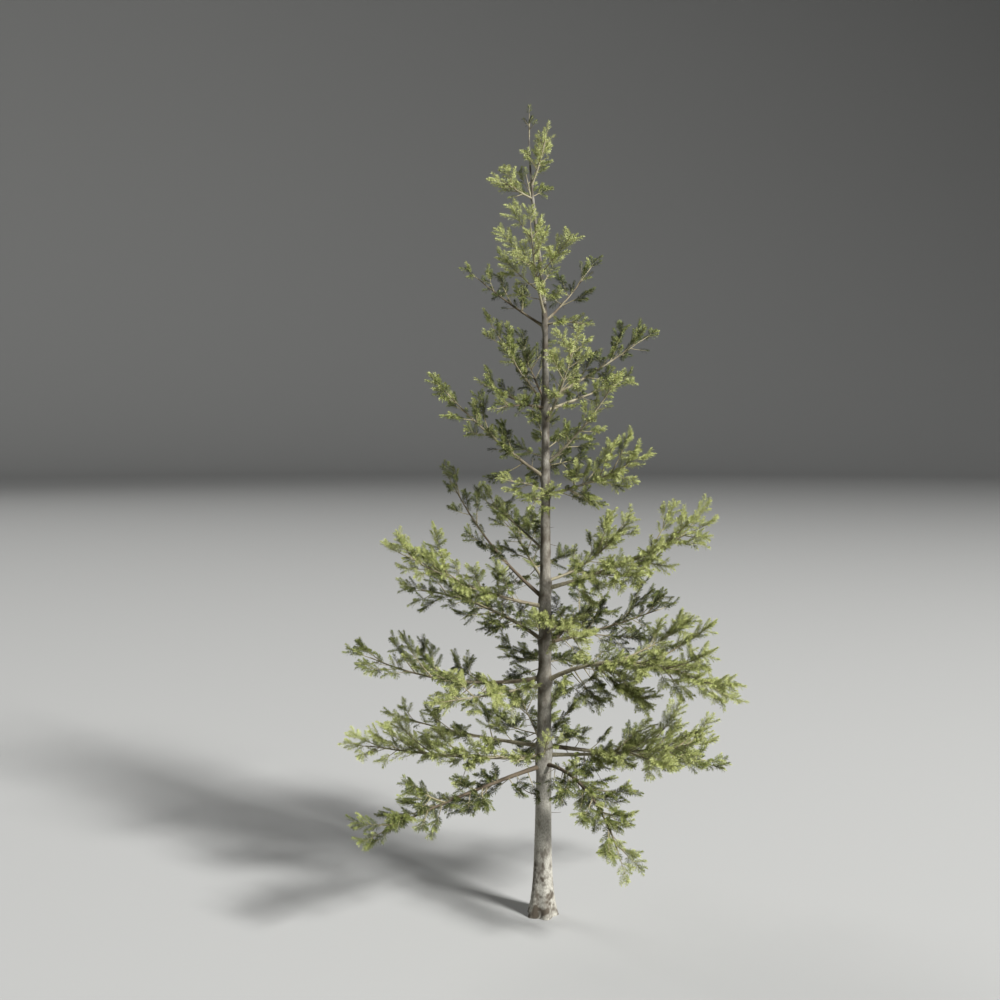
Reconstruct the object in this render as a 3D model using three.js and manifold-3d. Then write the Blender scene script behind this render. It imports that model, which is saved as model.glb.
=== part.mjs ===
// A young subalpine fir, 4.2 m tall, standing in level ground.
// Millimetres, +Z up. The origin is the centre of the flat cut where the trunk meets the ground.
// The tree is seen from -Y: +X lies to the right, +Y lies behind it.
import * as THREE from "three";
import { mergeVertices } from "three/addons/utils/BufferGeometryUtils.js";
import Module from "manifold-3d";

const wasm = await Module();
wasm.setup();

// Trunk
const TREE_HEIGHT = 4200;
const TRUNK_TOP = 4040;
const BUTT_RADIUS = 48;
const TIP_RADIUS = 1.5;
const FLARE = 30;
const FLARE_REACH = 130;
const ROOT_LOBES = 5;
const LOBE_DEPTH = 0.35;
const BOW = 14;
const TOP_LEAN = -75;
const LEAN_START = 0.72;
const LEAN_END = 0.96;
const TRUNK_SIDES = 12;
const TRUNK_RINGS = 18;
const RING_CROWDING = 1.6;
const SNAG = { height: 620, bearing: 186, length: 135, rise: 27, radius: 4.5, tipRadius: 2 };

// Boughs
const LIMB_RADIUS = 2;
const LIMB_RADIUS_PER_LENGTH = 0.0095;
const LIMB_TIP_RADIUS = 3.4;
const COLLAR = 0.45;
const COLLAR_REACH = 45;
const LIMB_SIDES = 5;
const LIMB_RINGS = 3;
const LIMB_FROM_LENGTH = 860;
const LIMB_SHARE = 0.26;
const AXIS_STEPS = 12;
const SWAY = [-9, 9];
const JOINT_GAP = 0.3;

// Foliage
const SEED = 4100;
const BARE_SHARE = 0.2;
const TWIGS = 2;
const TWIGS_PER_LENGTH = 1 / 215;
const FIRST_TWIG = 0.5;
const TWIG_REACH = 105;
const TWIG_REACH_PER_LENGTH = 0.25;
const TWIG_TAPER = 0.5;
const END_SPRAY = 60;
const END_SPRAY_PER_LENGTH = 0.1;
const TWIG_LENGTH_SPREAD = [0.85, 1.15];
const OPEN_INNER = 54;
const OPEN_OUTER = 34;
const OPEN_SPREAD = [-6, 6];
const SIDE_TILT = [-14, 54];
const UPRIGHT_TILT = [62, 87];
const UPRIGHT_EVERY = 4;
const TWIST_SPREAD = [-55, 55];
const SPRAY_WIDTH = 16;
const SPRAY_WIDTH_PER_LENGTH = 0.22;
const SPRAY_PAIR_LENGTHS = [140, 320];
const FORK_FIRST = 0.3;
const FORK_LAST = 0.8;
const TOOTH_FORWARD = 0.22;
const TOOTH_TAPER = 0.45;
const NOTCH_FORWARD = 0.15;
const NOTCH_WIDTH = 0.14;
const SPRAY_THICKNESS = 0.6;
const SPRAY_THICKNESS_PER_LENGTH = 0.0105;
const STEM_SIDES = 3;
const STEM_RINGS = 3;
const STEM_SLIMMING = 0.96;
const STEM_OVERLAP = 0.02;
const SPACE_GAP = 16;
const LIMB_CLEARANCE = 24;
const TRUNK_CLEARANCE = 14;
const GROUND_CLEARANCE = 30;
const SHORTENINGS = [1, 0.75, 0.55];

// Each bough leaves the trunk at a height and a bearing (0 is +X, 90 is +Y), climbs at its rise and
// has turned by its lift at the tip. Its fan tells how broad its side twigs spread.
const BOUGHS = [
  { name: "first_left", height: 842, bearing: 185, length: 1045, rise: -1, lift: 12, fan: 1.05 },
  { name: "first_left_front", height: 799, bearing: 215, length: 1115, rise: -6, lift: -9, fan: 1 },
  { name: "first_front_right", height: 805, bearing: 304, length: 880, rise: 10, lift: -80, fan: 1 },
  { name: "first_right", height: 855, bearing: 345, length: 905, rise: 3, lift: 11, fan: 1.25 },
  { name: "first_right_back", height: 905, bearing: 20, length: 1090, rise: -12, lift: 5, fan: 1 },
  { name: "first_back", height: 860, bearing: 92, length: 980, rise: 0, lift: 8, fan: 1.1 },
  { name: "first_left_back", height: 900, bearing: 150, length: 1040, rise: -2, lift: 10, fan: 0.8 },
  { name: "first_front", height: 868, bearing: 244, length: 430, rise: 4, lift: 8, fan: 1 },
  { name: "first_front_shoot", height: 850, bearing: 270, length: 330, rise: 26, lift: 10, fan: 1 },
  { name: "second_right_front", height: 1240, bearing: 330, length: 1120, rise: 32, lift: -63, fan: 1.3 },
  { name: "second_left_front", height: 1229, bearing: 215, length: 710, rise: -4, lift: 8, fan: 1.15 },
  { name: "second_left", height: 1265, bearing: 175, length: 1090, rise: -12, lift: 38, fan: 1.05 },
  { name: "second_back", height: 1260, bearing: 88, length: 920, rise: 6, lift: 8, fan: 1.1 },
  { name: "third_back_right", height: 1400, bearing: 62, length: 860, rise: 20, lift: -20, fan: 1.1 },
  { name: "third_right", height: 1445, bearing: 34, length: 870, rise: 4, lift: 12, fan: 1.1 },
  { name: "third_front", height: 1487, bearing: 296, length: 470, rise: 36, lift: -86, fan: 1.25 },
  { name: "third_left_back", height: 1450, bearing: 152, length: 900, rise: 32, lift: -34, fan: 1.1 },
  { name: "fourth_left", height: 1635, bearing: 195, length: 930, rise: 12, lift: 22, fan: 1.05 },
  { name: "fourth_left_back", height: 1675, bearing: 160, length: 905, rise: 36, lift: 30, fan: 0.9 },
  { name: "fourth_right", height: 1729, bearing: 345, length: 960, rise: 16, lift: 16, fan: 1.2 },
  { name: "fourth_back", height: 1760, bearing: 105, length: 760, rise: 18, lift: 14, fan: 1.1 },
  { name: "fourth_back_shoot", height: 1922, bearing: 140, length: 535, rise: 36, lift: -8, fan: 1.1 },
  { name: "fifth_right", height: 2219, bearing: 335, length: 600, rise: 12, lift: 20, fan: 1.3 },
  { name: "fifth_right_upper", height: 2374, bearing: 344, length: 620, rise: 40, lift: 20, fan: 1.1 },
  { name: "fifth_left_front", height: 2239, bearing: 228, length: 320, rise: 20, lift: -16, fan: 1.1 },
  { name: "fifth_front", height: 2205, bearing: 256, length: 380, rise: 8, lift: -28, fan: 1.1 },
  { name: "fifth_left", height: 2307, bearing: 185, length: 800, rise: 34, lift: 16, fan: 0.95 },
  { name: "fifth_back", height: 2290, bearing: 88, length: 620, rise: 26, lift: 16, fan: 1.15 },
  { name: "sixth_right_front", height: 2581, bearing: 300, length: 560, rise: 48, lift: 22, fan: 1.25 },
  { name: "sixth_right", height: 2709, bearing: 24, length: 770, rise: 26, lift: 8, fan: 0.95 },
  { name: "sixth_right_back", height: 2650, bearing: 48, length: 740, rise: 16, lift: -4, fan: 0.8 },
  { name: "sixth_left_upper", height: 2690, bearing: 176, length: 560, rise: 48, lift: 18, fan: 1.1 },
  { name: "sixth_left", height: 2655, bearing: 202, length: 415, rise: 14, lift: 18, fan: 1.1 },
  { name: "sixth_left_front", height: 2668, bearing: 232, length: 425, rise: 8, lift: -20, fan: 1.1 },
  { name: "sixth_back", height: 2700, bearing: 110, length: 480, rise: 36, lift: 16, fan: 1.2 },
  { name: "seventh_front", height: 3144, bearing: 250, length: 570, rise: 45, lift: 38, fan: 1.35 },
  { name: "seventh_left_back", height: 3083, bearing: 150, length: 600, rise: 30, lift: 8, fan: 0.75 },
  { name: "seventh_right_back", height: 3109, bearing: 40, length: 525, rise: 36, lift: 14, fan: 0.75 },
  { name: "seventh_right_front", height: 3094, bearing: 330, length: 270, rise: 12, lift: -30, fan: 1 },
  { name: "top_left", height: 3733, bearing: 200, length: 245, rise: 20, lift: 18, fan: 1.05 },
  { name: "top_right", height: 3799, bearing: 320, length: 320, rise: 62, lift: 16, fan: 0.8 },
  { name: "top_back", height: 3690, bearing: 104, length: 300, rise: 45, lift: 16, fan: 0.9 },
  { name: "fourth_right_upper", height: 1770, bearing: 8, length: 600, rise: 12, lift: 54, fan: 1.25 },
];
const LEADER = { name: "leader", height: TRUNK_TOP, bearing: 0, length: 160, rise: 90, lift: 0, fan: 0.4 };

// Colours
const TRUNK_BARK = { color: 0x77736a, roughness: 0.92, metalness: 0 };
const BOUGH_BARK = { color: 0x6b6452, roughness: 0.9, metalness: 0 };
const NEEDLES = { color: 0x5d6638, roughness: 0.7, metalness: 0 };

const radians = THREE.MathUtils.degToRad;
const lerp = THREE.MathUtils.lerp;
const UP = new THREE.Vector3(0, 0, 1);

// A repeatable run of numbers, each between a low and a high bound.
function seeded(seed) {
  let state = seed >>> 0;
  return ([low, high]) => {
    state = (state + 0x6d2b79f5) >>> 0;
    let mixed = Math.imul(state ^ (state >>> 15), state | 1);
    mixed ^= mixed + Math.imul(mixed ^ (mixed >>> 7), mixed | 61);
    return lerp(low, high, ((mixed ^ (mixed >>> 14)) >>> 0) / 2 ** 32);
  };
}

function trunkCentre(height) {
  const share = height / TREE_HEIGHT;
  const lean = TOP_LEAN * THREE.MathUtils.smoothstep(share, LEAN_START, LEAN_END);
  return new THREE.Vector3(BOW * Math.sin(Math.PI * share) + lean, 0, height);
}

function trunkRadius(height) {
  return TIP_RADIUS + (BUTT_RADIUS - TIP_RADIUS) * (1 - height / TREE_HEIGHT);
}

// The flare at the foot swells into a few root lobes.
function flareRadius(height, angle) {
  const lobe = 1 + LOBE_DEPTH * Math.cos(ROOT_LOBES * angle);
  return FLARE * lobe * Math.exp(-height / FLARE_REACH);
}

// A geometry as a solid that can be joined and cut.
function solid(geometry) {
  const bare = geometry.clone();
  bare.deleteAttribute("normal");
  bare.deleteAttribute("uv");
  const merged = mergeVertices(bare, 1e-4);
  const vertProperties = new Float32Array(merged.getAttribute("position").array);
  const triVerts = new Uint32Array(merged.index.array);
  return new wasm.Manifold(new wasm.Mesh({ numProp: 3, vertProperties, triVerts }));
}

// The largest closed body of a solid, without loose scraps or sealed hollows.
function largestBody(whole) {
  const bodies = whole.decompose();
  bodies.sort((a, b) => b.volume() - a.volume());
  return bodies[0];
}

function geometryOf(body) {
  const mesh = body.getMesh();
  const geometry = new THREE.BufferGeometry();
  geometry.setAttribute("position", new THREE.BufferAttribute(mesh.vertProperties, 3));
  geometry.setIndex(new THREE.BufferAttribute(mesh.triVerts, 1));
  geometry.computeVertexNormals();
  return geometry;
}

// A tapering limb: a cylinder whose rings are laid along a path of stations.
function limbGeometry(stations, sides) {
  const rings = stations.length - 1;
  const geometry = new THREE.CylinderGeometry(1, 1, 1, sides, rings);
  const position = geometry.getAttribute("position");
  for (let i = 0; i < position.count; i += 1) {
    const ring = Math.round((0.5 + position.getY(i)) * rings);
    const { point, side, up, radius } = stations[ring];
    const moved = point.clone();
    moved.addScaledVector(side, position.getX(i) * radius);
    moved.addScaledVector(up, position.getZ(i) * radius);
    position.setXYZ(i, moved.x, moved.y, moved.z);
  }
  return geometry;
}

// The trunk from the ground to its top, with closer rings in the flare.
function trunkGeometry(extra) {
  const geometry = new THREE.CylinderGeometry(1, 1, 1, TRUNK_SIDES, TRUNK_RINGS);
  const position = geometry.getAttribute("position");
  for (let i = 0; i < position.count; i += 1) {
    const height = TRUNK_TOP * (0.5 + position.getY(i)) ** RING_CROWDING;
    const centre = trunkCentre(height);
    const angle = Math.atan2(-position.getZ(i), position.getX(i));
    const radius = trunkRadius(height) + flareRadius(height, angle) + extra;
    const x = centre.x + radius * position.getX(i);
    const y = centre.y - radius * position.getZ(i);
    position.setXYZ(i, x, y, centre.z);
  }
  return geometry;
}

// The centre line of a bough in its own frame, which points along +X and is turned to the bearing.
function boughAxis(bough, sway) {
  const step = bough.length / AXIS_STEPS;
  const points = [new THREE.Vector3()];
  for (let i = 0; i < AXIS_STEPS; i += 1) {
    const share = (i + 0.5) / AXIS_STEPS;
    const pitch = radians(bough.rise + bough.lift * share);
    const heading = radians(sway * share);
    const flat = Math.cos(pitch);
    const ahead = new THREE.Vector3(flat * Math.cos(heading), flat * Math.sin(heading), Math.sin(pitch));
    points.push(points[i].clone().addScaledVector(ahead, step));
  }
  return points;
}

// Where the centre line is at a share of its length, with the directions along it, across it and above it.
function stationAt(axis, share) {
  const place = THREE.MathUtils.clamp(share, 0, 1) * AXIS_STEPS;
  const index = Math.min(Math.floor(place), AXIS_STEPS - 1);
  const point = axis[index].clone().lerp(axis[index + 1], place - index);
  const before = axis[Math.max(index - 1, 0)];
  const after = axis[Math.min(index + 1, AXIS_STEPS)];
  const later = axis[Math.min(index + 2, AXIS_STEPS)];
  const entering = after.clone().sub(before).normalize();
  const leaving = later.clone().sub(axis[index]).normalize();
  const along = entering.lerp(leaving, place - index).normalize();
  const side = along.clone().cross(UP);
  if (side.length() < 0.01) {
    side.set(1, 0, 0);
  }
  side.normalize();
  const up = side.clone().cross(along).normalize();
  return { point, along, side, up };
}

function limbRadius(bough, share) {
  const root = LIMB_RADIUS + LIMB_RADIUS_PER_LENGTH * bough.length;
  const collar = bough.collar * root * Math.exp((-share * bough.length) / COLLAR_REACH);
  return LIMB_TIP_RADIUS + (root - LIMB_TIP_RADIUS) * (1 - share) + collar;
}

// The toothed outline of one spray, from its root at the origin to its tip along +X.
// Each pair of teeth is a pair of side shoots that point forwards.
function sprayOutline(length, width) {
  const pairs = 1 + SPRAY_PAIR_LENGTHS.filter((limit) => length > limit).length;
  const edge = [new THREE.Vector2()];
  for (let i = 0; i < pairs; i += 1) {
    const share = i / pairs;
    const fork = length * lerp(FORK_FIRST, FORK_LAST, share);
    const half = width * (1 - TOOTH_TAPER * share);
    edge.push(new THREE.Vector2(fork + TOOTH_FORWARD * length, half));
    edge.push(new THREE.Vector2(fork + NOTCH_FORWARD * length, NOTCH_WIDTH * width));
  }
  edge.push(new THREE.Vector2(length, 0));
  const inner = edge.slice(1, -1);
  const mirrored = inner.map((corner) => new THREE.Vector2(corner.x, -corner.y));
  return [edge[0], ...mirrored, edge.at(-1), ...inner.reverse()];
}

// A spray is a thin blade set on its twig's line, with the blade's face towards the twig's upper side.
function sprayFrame(twig) {
  const across = twig.above.clone().cross(twig.along).normalize();
  const normal = twig.along.clone().cross(across);
  return new THREE.Matrix4().makeBasis(twig.along, across, normal).setPosition(twig.point);
}

function sprayGeometry(twig) {
  const shape = new THREE.Shape(sprayOutline(twig.length, twig.width));
  const depth = SPRAY_THICKNESS + SPRAY_THICKNESS_PER_LENGTH * twig.length;
  const geometry = new THREE.ExtrudeGeometry(shape, { depth, bevelEnabled: false });
  geometry.translate(0, 0, -depth / 2);
  return geometry.applyMatrix4(sprayFrame(twig));
}

function distanceToAxis(point, axis) {
  const line = new THREE.Line3();
  const nearest = new THREE.Vector3();
  let least = Infinity;
  for (let i = 0; i < AXIS_STEPS; i += 1) {
    line.set(axis[i], axis[i + 1]).closestPointToPoint(point, true, nearest);
    least = Math.min(least, nearest.distanceTo(point));
  }
  return least;
}

// A point is in a bough's own space when no other bough or the trunk is near it.
function inOwnSpace(point, bough, boughs) {
  if (point.z < GROUND_CLEARANCE) {
    return false;
  }
  if (point.z < TRUNK_TOP) {
    const fromTrunk = point.distanceTo(trunkCentre(point.z));
    if (fromTrunk < trunkRadius(point.z) + TRUNK_CLEARANCE) {
      return false;
    }
  }
  const own = distanceToAxis(point, bough.worldAxis);
  return boughs.every((other) => {
    if (other === bough) {
      return true;
    }
    const away = distanceToAxis(point, other.worldAxis);
    return away > own + SPACE_GAP && away > LIMB_CLEARANCE;
  });
}

// The twig shortened until its spray keeps to its own space, or nothing where none fits.
function fitted(twig, bough, boughs) {
  for (const share of SHORTENINGS) {
    const length = twig.length * share;
    const width = SPRAY_WIDTH + SPRAY_WIDTH_PER_LENGTH * length;
    const shorter = { ...twig, length, width };
    const frame = new THREE.Matrix4().multiplyMatrices(bough.frame.matrix, sprayFrame(shorter));
    const corners = sprayOutline(length, width).filter((corner) => corner.x > 0);
    const clear = corners.every((corner) => {
      const point = new THREE.Vector3(corner.x, corner.y, 0).applyMatrix4(frame);
      return inOwnSpace(point, bough, boughs);
    });
    if (clear) {
      return shorter;
    }
  }
  return null;
}

// The twigs of one bough: they stand alternately to its two sides, some upright, and one ends it.
function growTwigs(bough, boughs) {
  const random = bough.random;
  const count = Math.round(TWIGS + bough.length * TWIGS_PER_LENGTH);
  const first = Math.max(bough.limb, BARE_SHARE);
  const twigs = [];
  for (let i = 0; i < count; i += 1) {
    const share = (i + FIRST_TWIG) / count;
    const station = stationAt(bough.axis, lerp(first, bough.stemEnd, share));
    const hand = i % 2 === 0 ? 1 : -1;
    const upright = i % UPRIGHT_EVERY === UPRIGHT_EVERY - 1;
    const open = radians(lerp(OPEN_INNER, OPEN_OUTER, share) + random(OPEN_SPREAD));
    const tilt = radians(random(upright ? UPRIGHT_TILT : SIDE_TILT));
    const twist = radians(random(TWIST_SPREAD));
    const reach = bough.fan * (TWIG_REACH + TWIG_REACH_PER_LENGTH * bough.length);
    const length = reach * (1 - TWIG_TAPER * share) * random(TWIG_LENGTH_SPREAD);
    const outwards = station.side.clone().multiplyScalar(hand * Math.cos(tilt));
    outwards.addScaledVector(station.up, Math.sin(tilt));
    const along = station.along.clone().multiplyScalar(Math.cos(open));
    along.addScaledVector(outwards, Math.sin(open)).normalize();
    const above = station.up.clone().applyAxisAngle(along, twist);
    twigs.push({ point: station.point, along, above, length });
  }
  const end = stationAt(bough.axis, bough.stemEnd);
  const length = bough.length * (1 - bough.stemEnd);
  twigs.push({ point: end.point, along: end.along, above: end.up, length });
  return twigs.map((twig) => fitted(twig, bough, boughs)).filter((twig) => twig);
}

// The stations of a bough's wood between two shares of its length.
function woodStations(bough, from, to, rings, slimming) {
  const stations = [];
  for (let i = 0; i <= rings; i += 1) {
    const share = lerp(from, to, i / rings);
    const radius = slimming * limbRadius(bough, share);
    stations.push({ ...stationAt(bough.axis, share), radius });
  }
  return stations;
}

function clearOfTrunk(body, bough) {
  const cutter = trunkGeometry(JOINT_GAP).applyMatrix4(bough.frame.matrix.clone().invert());
  return largestBody(body.subtract(solid(cutter)));
}

// Sets out a bough: its frame on the trunk, its centre line and where its stem gives way to the end spray.
function setOut(row, index) {
  const random = seeded(SEED + index);
  const frame = new THREE.Group();
  frame.position.copy(trunkCentre(row.height));
  frame.rotation.z = radians(row.bearing);
  frame.updateMatrix();
  const axis = boughAxis(row, random(SWAY));
  const worldAxis = axis.map((point) => point.clone().applyMatrix4(frame.matrix));
  const endSpray = END_SPRAY + END_SPRAY_PER_LENGTH * row.length;
  const stemEnd = 1 - endSpray / row.length;
  const limb = row.length > LIMB_FROM_LENGTH ? LIMB_SHARE : 0;
  const collar = row === LEADER ? 0 : COLLAR;
  return { ...row, random, frame, axis, worldAxis, stemEnd, limb, collar };
}

function namedMesh(name, body, look) {
  const mesh = new THREE.Mesh(geometryOf(body), new THREE.MeshStandardMaterial(look));
  mesh.name = name;
  return mesh;
}

// A dead stub low on the trunk, fused to it.
function snagSolid() {
  const { height, bearing, length, rise, radius, tipRadius } = SNAG;
  const along = new THREE.Vector3(Math.cos(radians(rise)), 0, Math.sin(radians(rise)));
  along.applyAxisAngle(UP, radians(bearing));
  const stub = new THREE.CylinderGeometry(tipRadius, radius, length, LIMB_SIDES);
  stub.translate(0, length / 2, 0);
  stub.applyQuaternion(new THREE.Quaternion().setFromUnitVectors(new THREE.Vector3(0, 1, 0), along));
  const root = trunkCentre(height);
  return solid(stub.translate(root.x, root.y, root.z));
}

// The bare inner part of a bough, from the trunk to its needles.
function boughLimb(bough) {
  const wood = solid(limbGeometry(woodStations(bough, 0, bough.limb, LIMB_RINGS, 1), LIMB_SIDES));
  return clearOfTrunk(wood, bough);
}

// A mass of needles: a stem with its sprays fused on. The stem starts a small gap beyond the end of
// the bare limb, or of the trunk for the leader, and else at the trunk's side.
function foliageMass(bough, boughs) {
  const from = bough.limb + JOINT_GAP / bough.length;
  const stations = woodStations(bough, from, bough.stemEnd + STEM_OVERLAP, STEM_RINGS, STEM_SLIMMING);
  let body = clearOfTrunk(solid(limbGeometry(stations, STEM_SIDES)), bough);
  for (const twig of growTwigs(bough, boughs)) {
    body = body.add(solid(sprayGeometry(twig)));
  }
  return largestBody(body);
}

const tree = new THREE.Group();
tree.name = "subalpine_fir";
tree.add(namedMesh("trunk", largestBody(solid(trunkGeometry(0)).add(snagSolid())), TRUNK_BARK));

const boughs = [...BOUGHS, LEADER].map(setOut);
for (const bough of boughs) {
  if (bough.limb > 0) {
    bough.frame.add(namedMesh(`bough_${bough.name}`, boughLimb(bough), BOUGH_BARK));
  }
  bough.frame.add(namedMesh(`needles_${bough.name}`, foliageMass(bough, boughs), NEEDLES));
  tree.add(bough.frame);
}

export default tree;
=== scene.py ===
"""A young subalpine fir: barked wood, twigs and needles grown around the solids of its frame.

Metres, +Z up. The origin is the centre of the flat cut where the trunk meets the ground, and the tree is
seen from -Y. The boughs and twigs follow the rule of the solids, and go on to finer shoots within the
same reach.
"""

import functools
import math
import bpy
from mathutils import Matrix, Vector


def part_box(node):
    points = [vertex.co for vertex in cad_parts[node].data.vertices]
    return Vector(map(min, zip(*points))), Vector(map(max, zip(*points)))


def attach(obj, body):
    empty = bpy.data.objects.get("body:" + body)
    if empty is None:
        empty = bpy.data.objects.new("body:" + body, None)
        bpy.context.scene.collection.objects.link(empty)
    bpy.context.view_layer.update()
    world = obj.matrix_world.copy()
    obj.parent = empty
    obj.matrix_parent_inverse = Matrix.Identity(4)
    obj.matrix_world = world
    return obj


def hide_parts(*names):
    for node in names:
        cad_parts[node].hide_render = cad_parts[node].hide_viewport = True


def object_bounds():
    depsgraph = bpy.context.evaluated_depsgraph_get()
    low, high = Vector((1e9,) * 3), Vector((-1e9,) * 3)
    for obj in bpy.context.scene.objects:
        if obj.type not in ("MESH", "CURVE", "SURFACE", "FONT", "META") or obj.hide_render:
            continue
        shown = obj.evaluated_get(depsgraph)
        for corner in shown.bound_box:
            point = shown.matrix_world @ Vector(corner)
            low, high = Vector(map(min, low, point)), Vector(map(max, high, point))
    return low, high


bl_info = {
    "name": "Subalpine Fir",
    "version": (1, 0, 0),
    "blender": (4, 5, 0),
    "location": "3D View > Sidebar > Fir",
    "description": "Grows a young subalpine fir with barked wood, twigs and needles",
    "category": "Add Mesh",
}

from collections import namedtuple

import bpy
import numpy as np
from bpy.props import FloatProperty, FloatVectorProperty, IntProperty, PointerProperty

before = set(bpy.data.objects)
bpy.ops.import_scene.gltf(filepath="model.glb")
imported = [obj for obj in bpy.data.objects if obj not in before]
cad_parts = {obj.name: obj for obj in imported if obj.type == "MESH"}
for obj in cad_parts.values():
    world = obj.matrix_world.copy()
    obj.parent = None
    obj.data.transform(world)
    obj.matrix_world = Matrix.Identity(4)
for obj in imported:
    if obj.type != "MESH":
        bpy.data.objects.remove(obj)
CAD_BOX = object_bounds()

BOUGH_NODES = sorted(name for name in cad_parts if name.startswith("bough_"))
NEEDLE_NODES = sorted(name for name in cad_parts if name.startswith("needles_"))
TREE_HEIGHT = round(CAD_BOX[1].z, 3)
TRUNK_TOP = round(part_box("trunk")[1].z, 3)

# Trunk line
BUTT_RADIUS = 0.048
TIP_RADIUS = 0.0015
FLARE = 0.030
FLARE_REACH = 0.130
ROOT_LOBES = 5
LOBE_DEPTH = 0.35
BOW = 0.014
TOP_LEAN = -0.075
LEAN_START = 0.72
LEAN_END = 0.96

# Dead stub low on the trunk
SNAG_HEIGHT = 0.620
SNAG_BEARING = 186
SNAG_LENGTH = 0.135
SNAG_RISE = 27
SNAG_RADIUS = 0.0045
SNAG_TIP_RADIUS = 0.002
SNAG_RINGS = 22
SNAG_COLUMNS = 8
SNAG_CROOK = 0.004
SNAG_CROOK_TURN = 7
SNAG_LUMPS = 14
SNAG_LUMP_SEED = 5
SNAG_ROUGHNESS = 0.16
SNAG_STAIN = 0.55

# Boughs
LIMB_RADIUS = 0.002
LIMB_RADIUS_PER_LENGTH = 0.0095
LIMB_TIP_RADIUS = 0.0019
LIMB_SLIMMING = 1.35
COLLAR = 0.45
COLLAR_REACH = 0.045
LIMB_FROM_LENGTH = 0.860
LIMB_SHARE = 0.26
AXIS_STEPS = 12
SWAY = (-9, 9)

# Orders of growth: a twig on a bough, a side twig on that, and a shoot
TWIG, SIDE_TWIG, SHOOT = 1, 2, 3

# Twigs of the first order, as in the solids
SEED = 4100
BARE_SHARE = 0.2
TWIGS = 2
TWIGS_PER_LENGTH = 1 / 0.215
FIRST_TWIG = 0.5
TWIG_REACH = 0.105
TWIG_REACH_PER_LENGTH = 0.25
TWIG_TAPER = 0.5
END_SPRAY = 0.060
END_SPRAY_PER_LENGTH = 0.1
TWIG_LENGTH_SPREAD = (0.85, 1.15)
OPEN_INNER = 54
OPEN_OUTER = 34
OPEN_SPREAD = (-6, 6)
SIDE_TILT = (-14, 54)
UPRIGHT_TILT = (62, 87)
UPRIGHT_EVERY = 4
TWIST_SPREAD = (-55, 55)
SPRAY_WIDTH = 0.016
SPRAY_WIDTH_PER_LENGTH = 0.22
SPRAY_PAIR_LENGTHS = (0.140, 0.320)
FORK_FIRST = 0.3
FORK_LAST = 0.8
TOOTH_FORWARD = 0.22
TOOTH_TAPER = 0.45
NOTCH_FORWARD = 0.15
NOTCH_WIDTH = 0.14
SPACE_GAP = 0.016
LIMB_CLEARANCE = 0.024
TRUNK_CLEARANCE = 0.014
GROUND_CLEARANCE = 0.030
SHORTENINGS = (1, 0.75, 0.55)

# Finer twigs between those of the first order, and on the inner part of the boughs
FINE_SEED = 7300
TwigRule = namedtuple("TwigRule", "spacing share open tilt")
FINE_TWIGS = TwigRule(spacing=0.060, share=(0.34, 0.74), open=(-6, 10), tilt=(-72, 62))
FINE_SHORTENINGS = (1, 0.75, 0.55, 0.4, 0.3)
FINE_STAGGER = (0.2, 0.8)
INNER_TWIGS = TwigRule(spacing=0.046, share=(0.38, 0.90), open=(-4, 32), tilt=(-80, 78))
INNER_SPAN = (0.09, 0.36)
INNER_FROM_LENGTH = 0.400
AXIS_SHOOT_SPACING = 0.042
AXIS_SHOOT_LENGTH = (0.035, 0.080)
AXIS_SHOOT_TILT = (-30, 88)
AXIS_SHOOT_OPEN = (34, 62)

# Side shoots of a twig
FORK_FROM_LENGTH = 0.105
FORK_SPACING = 0.025
FEWEST_SHOOTS = 2
SHOOT_STAGGER = (0.25, 0.75)
SHOOT_FIRST = 0.34
SHOOT_LAST = 0.94
SHOOT_OPEN_INNER = 50
SHOOT_OPEN_OUTER = 33
SHOOT_OPEN_SPREAD = (-8, 8)
SHOOT_ROLL = (-55, 70)
SHOOT_LENGTH_SPREAD = (0.48, 1.12)
SHOOT_SHORTEST = 0.032
SHOOT_PAST_TIP = 0.030
SHOOT_OUTWARDS = 0.35
TWIG_SAG = (0.04, 0.17)
SHOOT_SAG = (0.06, 0.24)

# Dead twigs on the trunk and on the bare inner part of the long boughs
DEAD_SEED = 9100
DEAD_ON_TRUNK = 18
DEAD_ON_BOUGH = 3
DEAD_HEIGHT = (0.50, 2.60)
DEAD_RISE = (-25, 40)
DEAD_STUB_LENGTH = (0.02, 0.11)
DEAD_STUB_ROOT = 0.8
DEAD_PLACE = (0.10, 0.46)
DEAD_OPEN = (52, 84)
DEAD_TILT = (-80, -8)
DEAD_LENGTH = (0.06, 0.20)

Limb = namedtuple("Limb", "name height bearing length rise lift fan leaf hang glow", defaults=(1, 0, 0))
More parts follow.
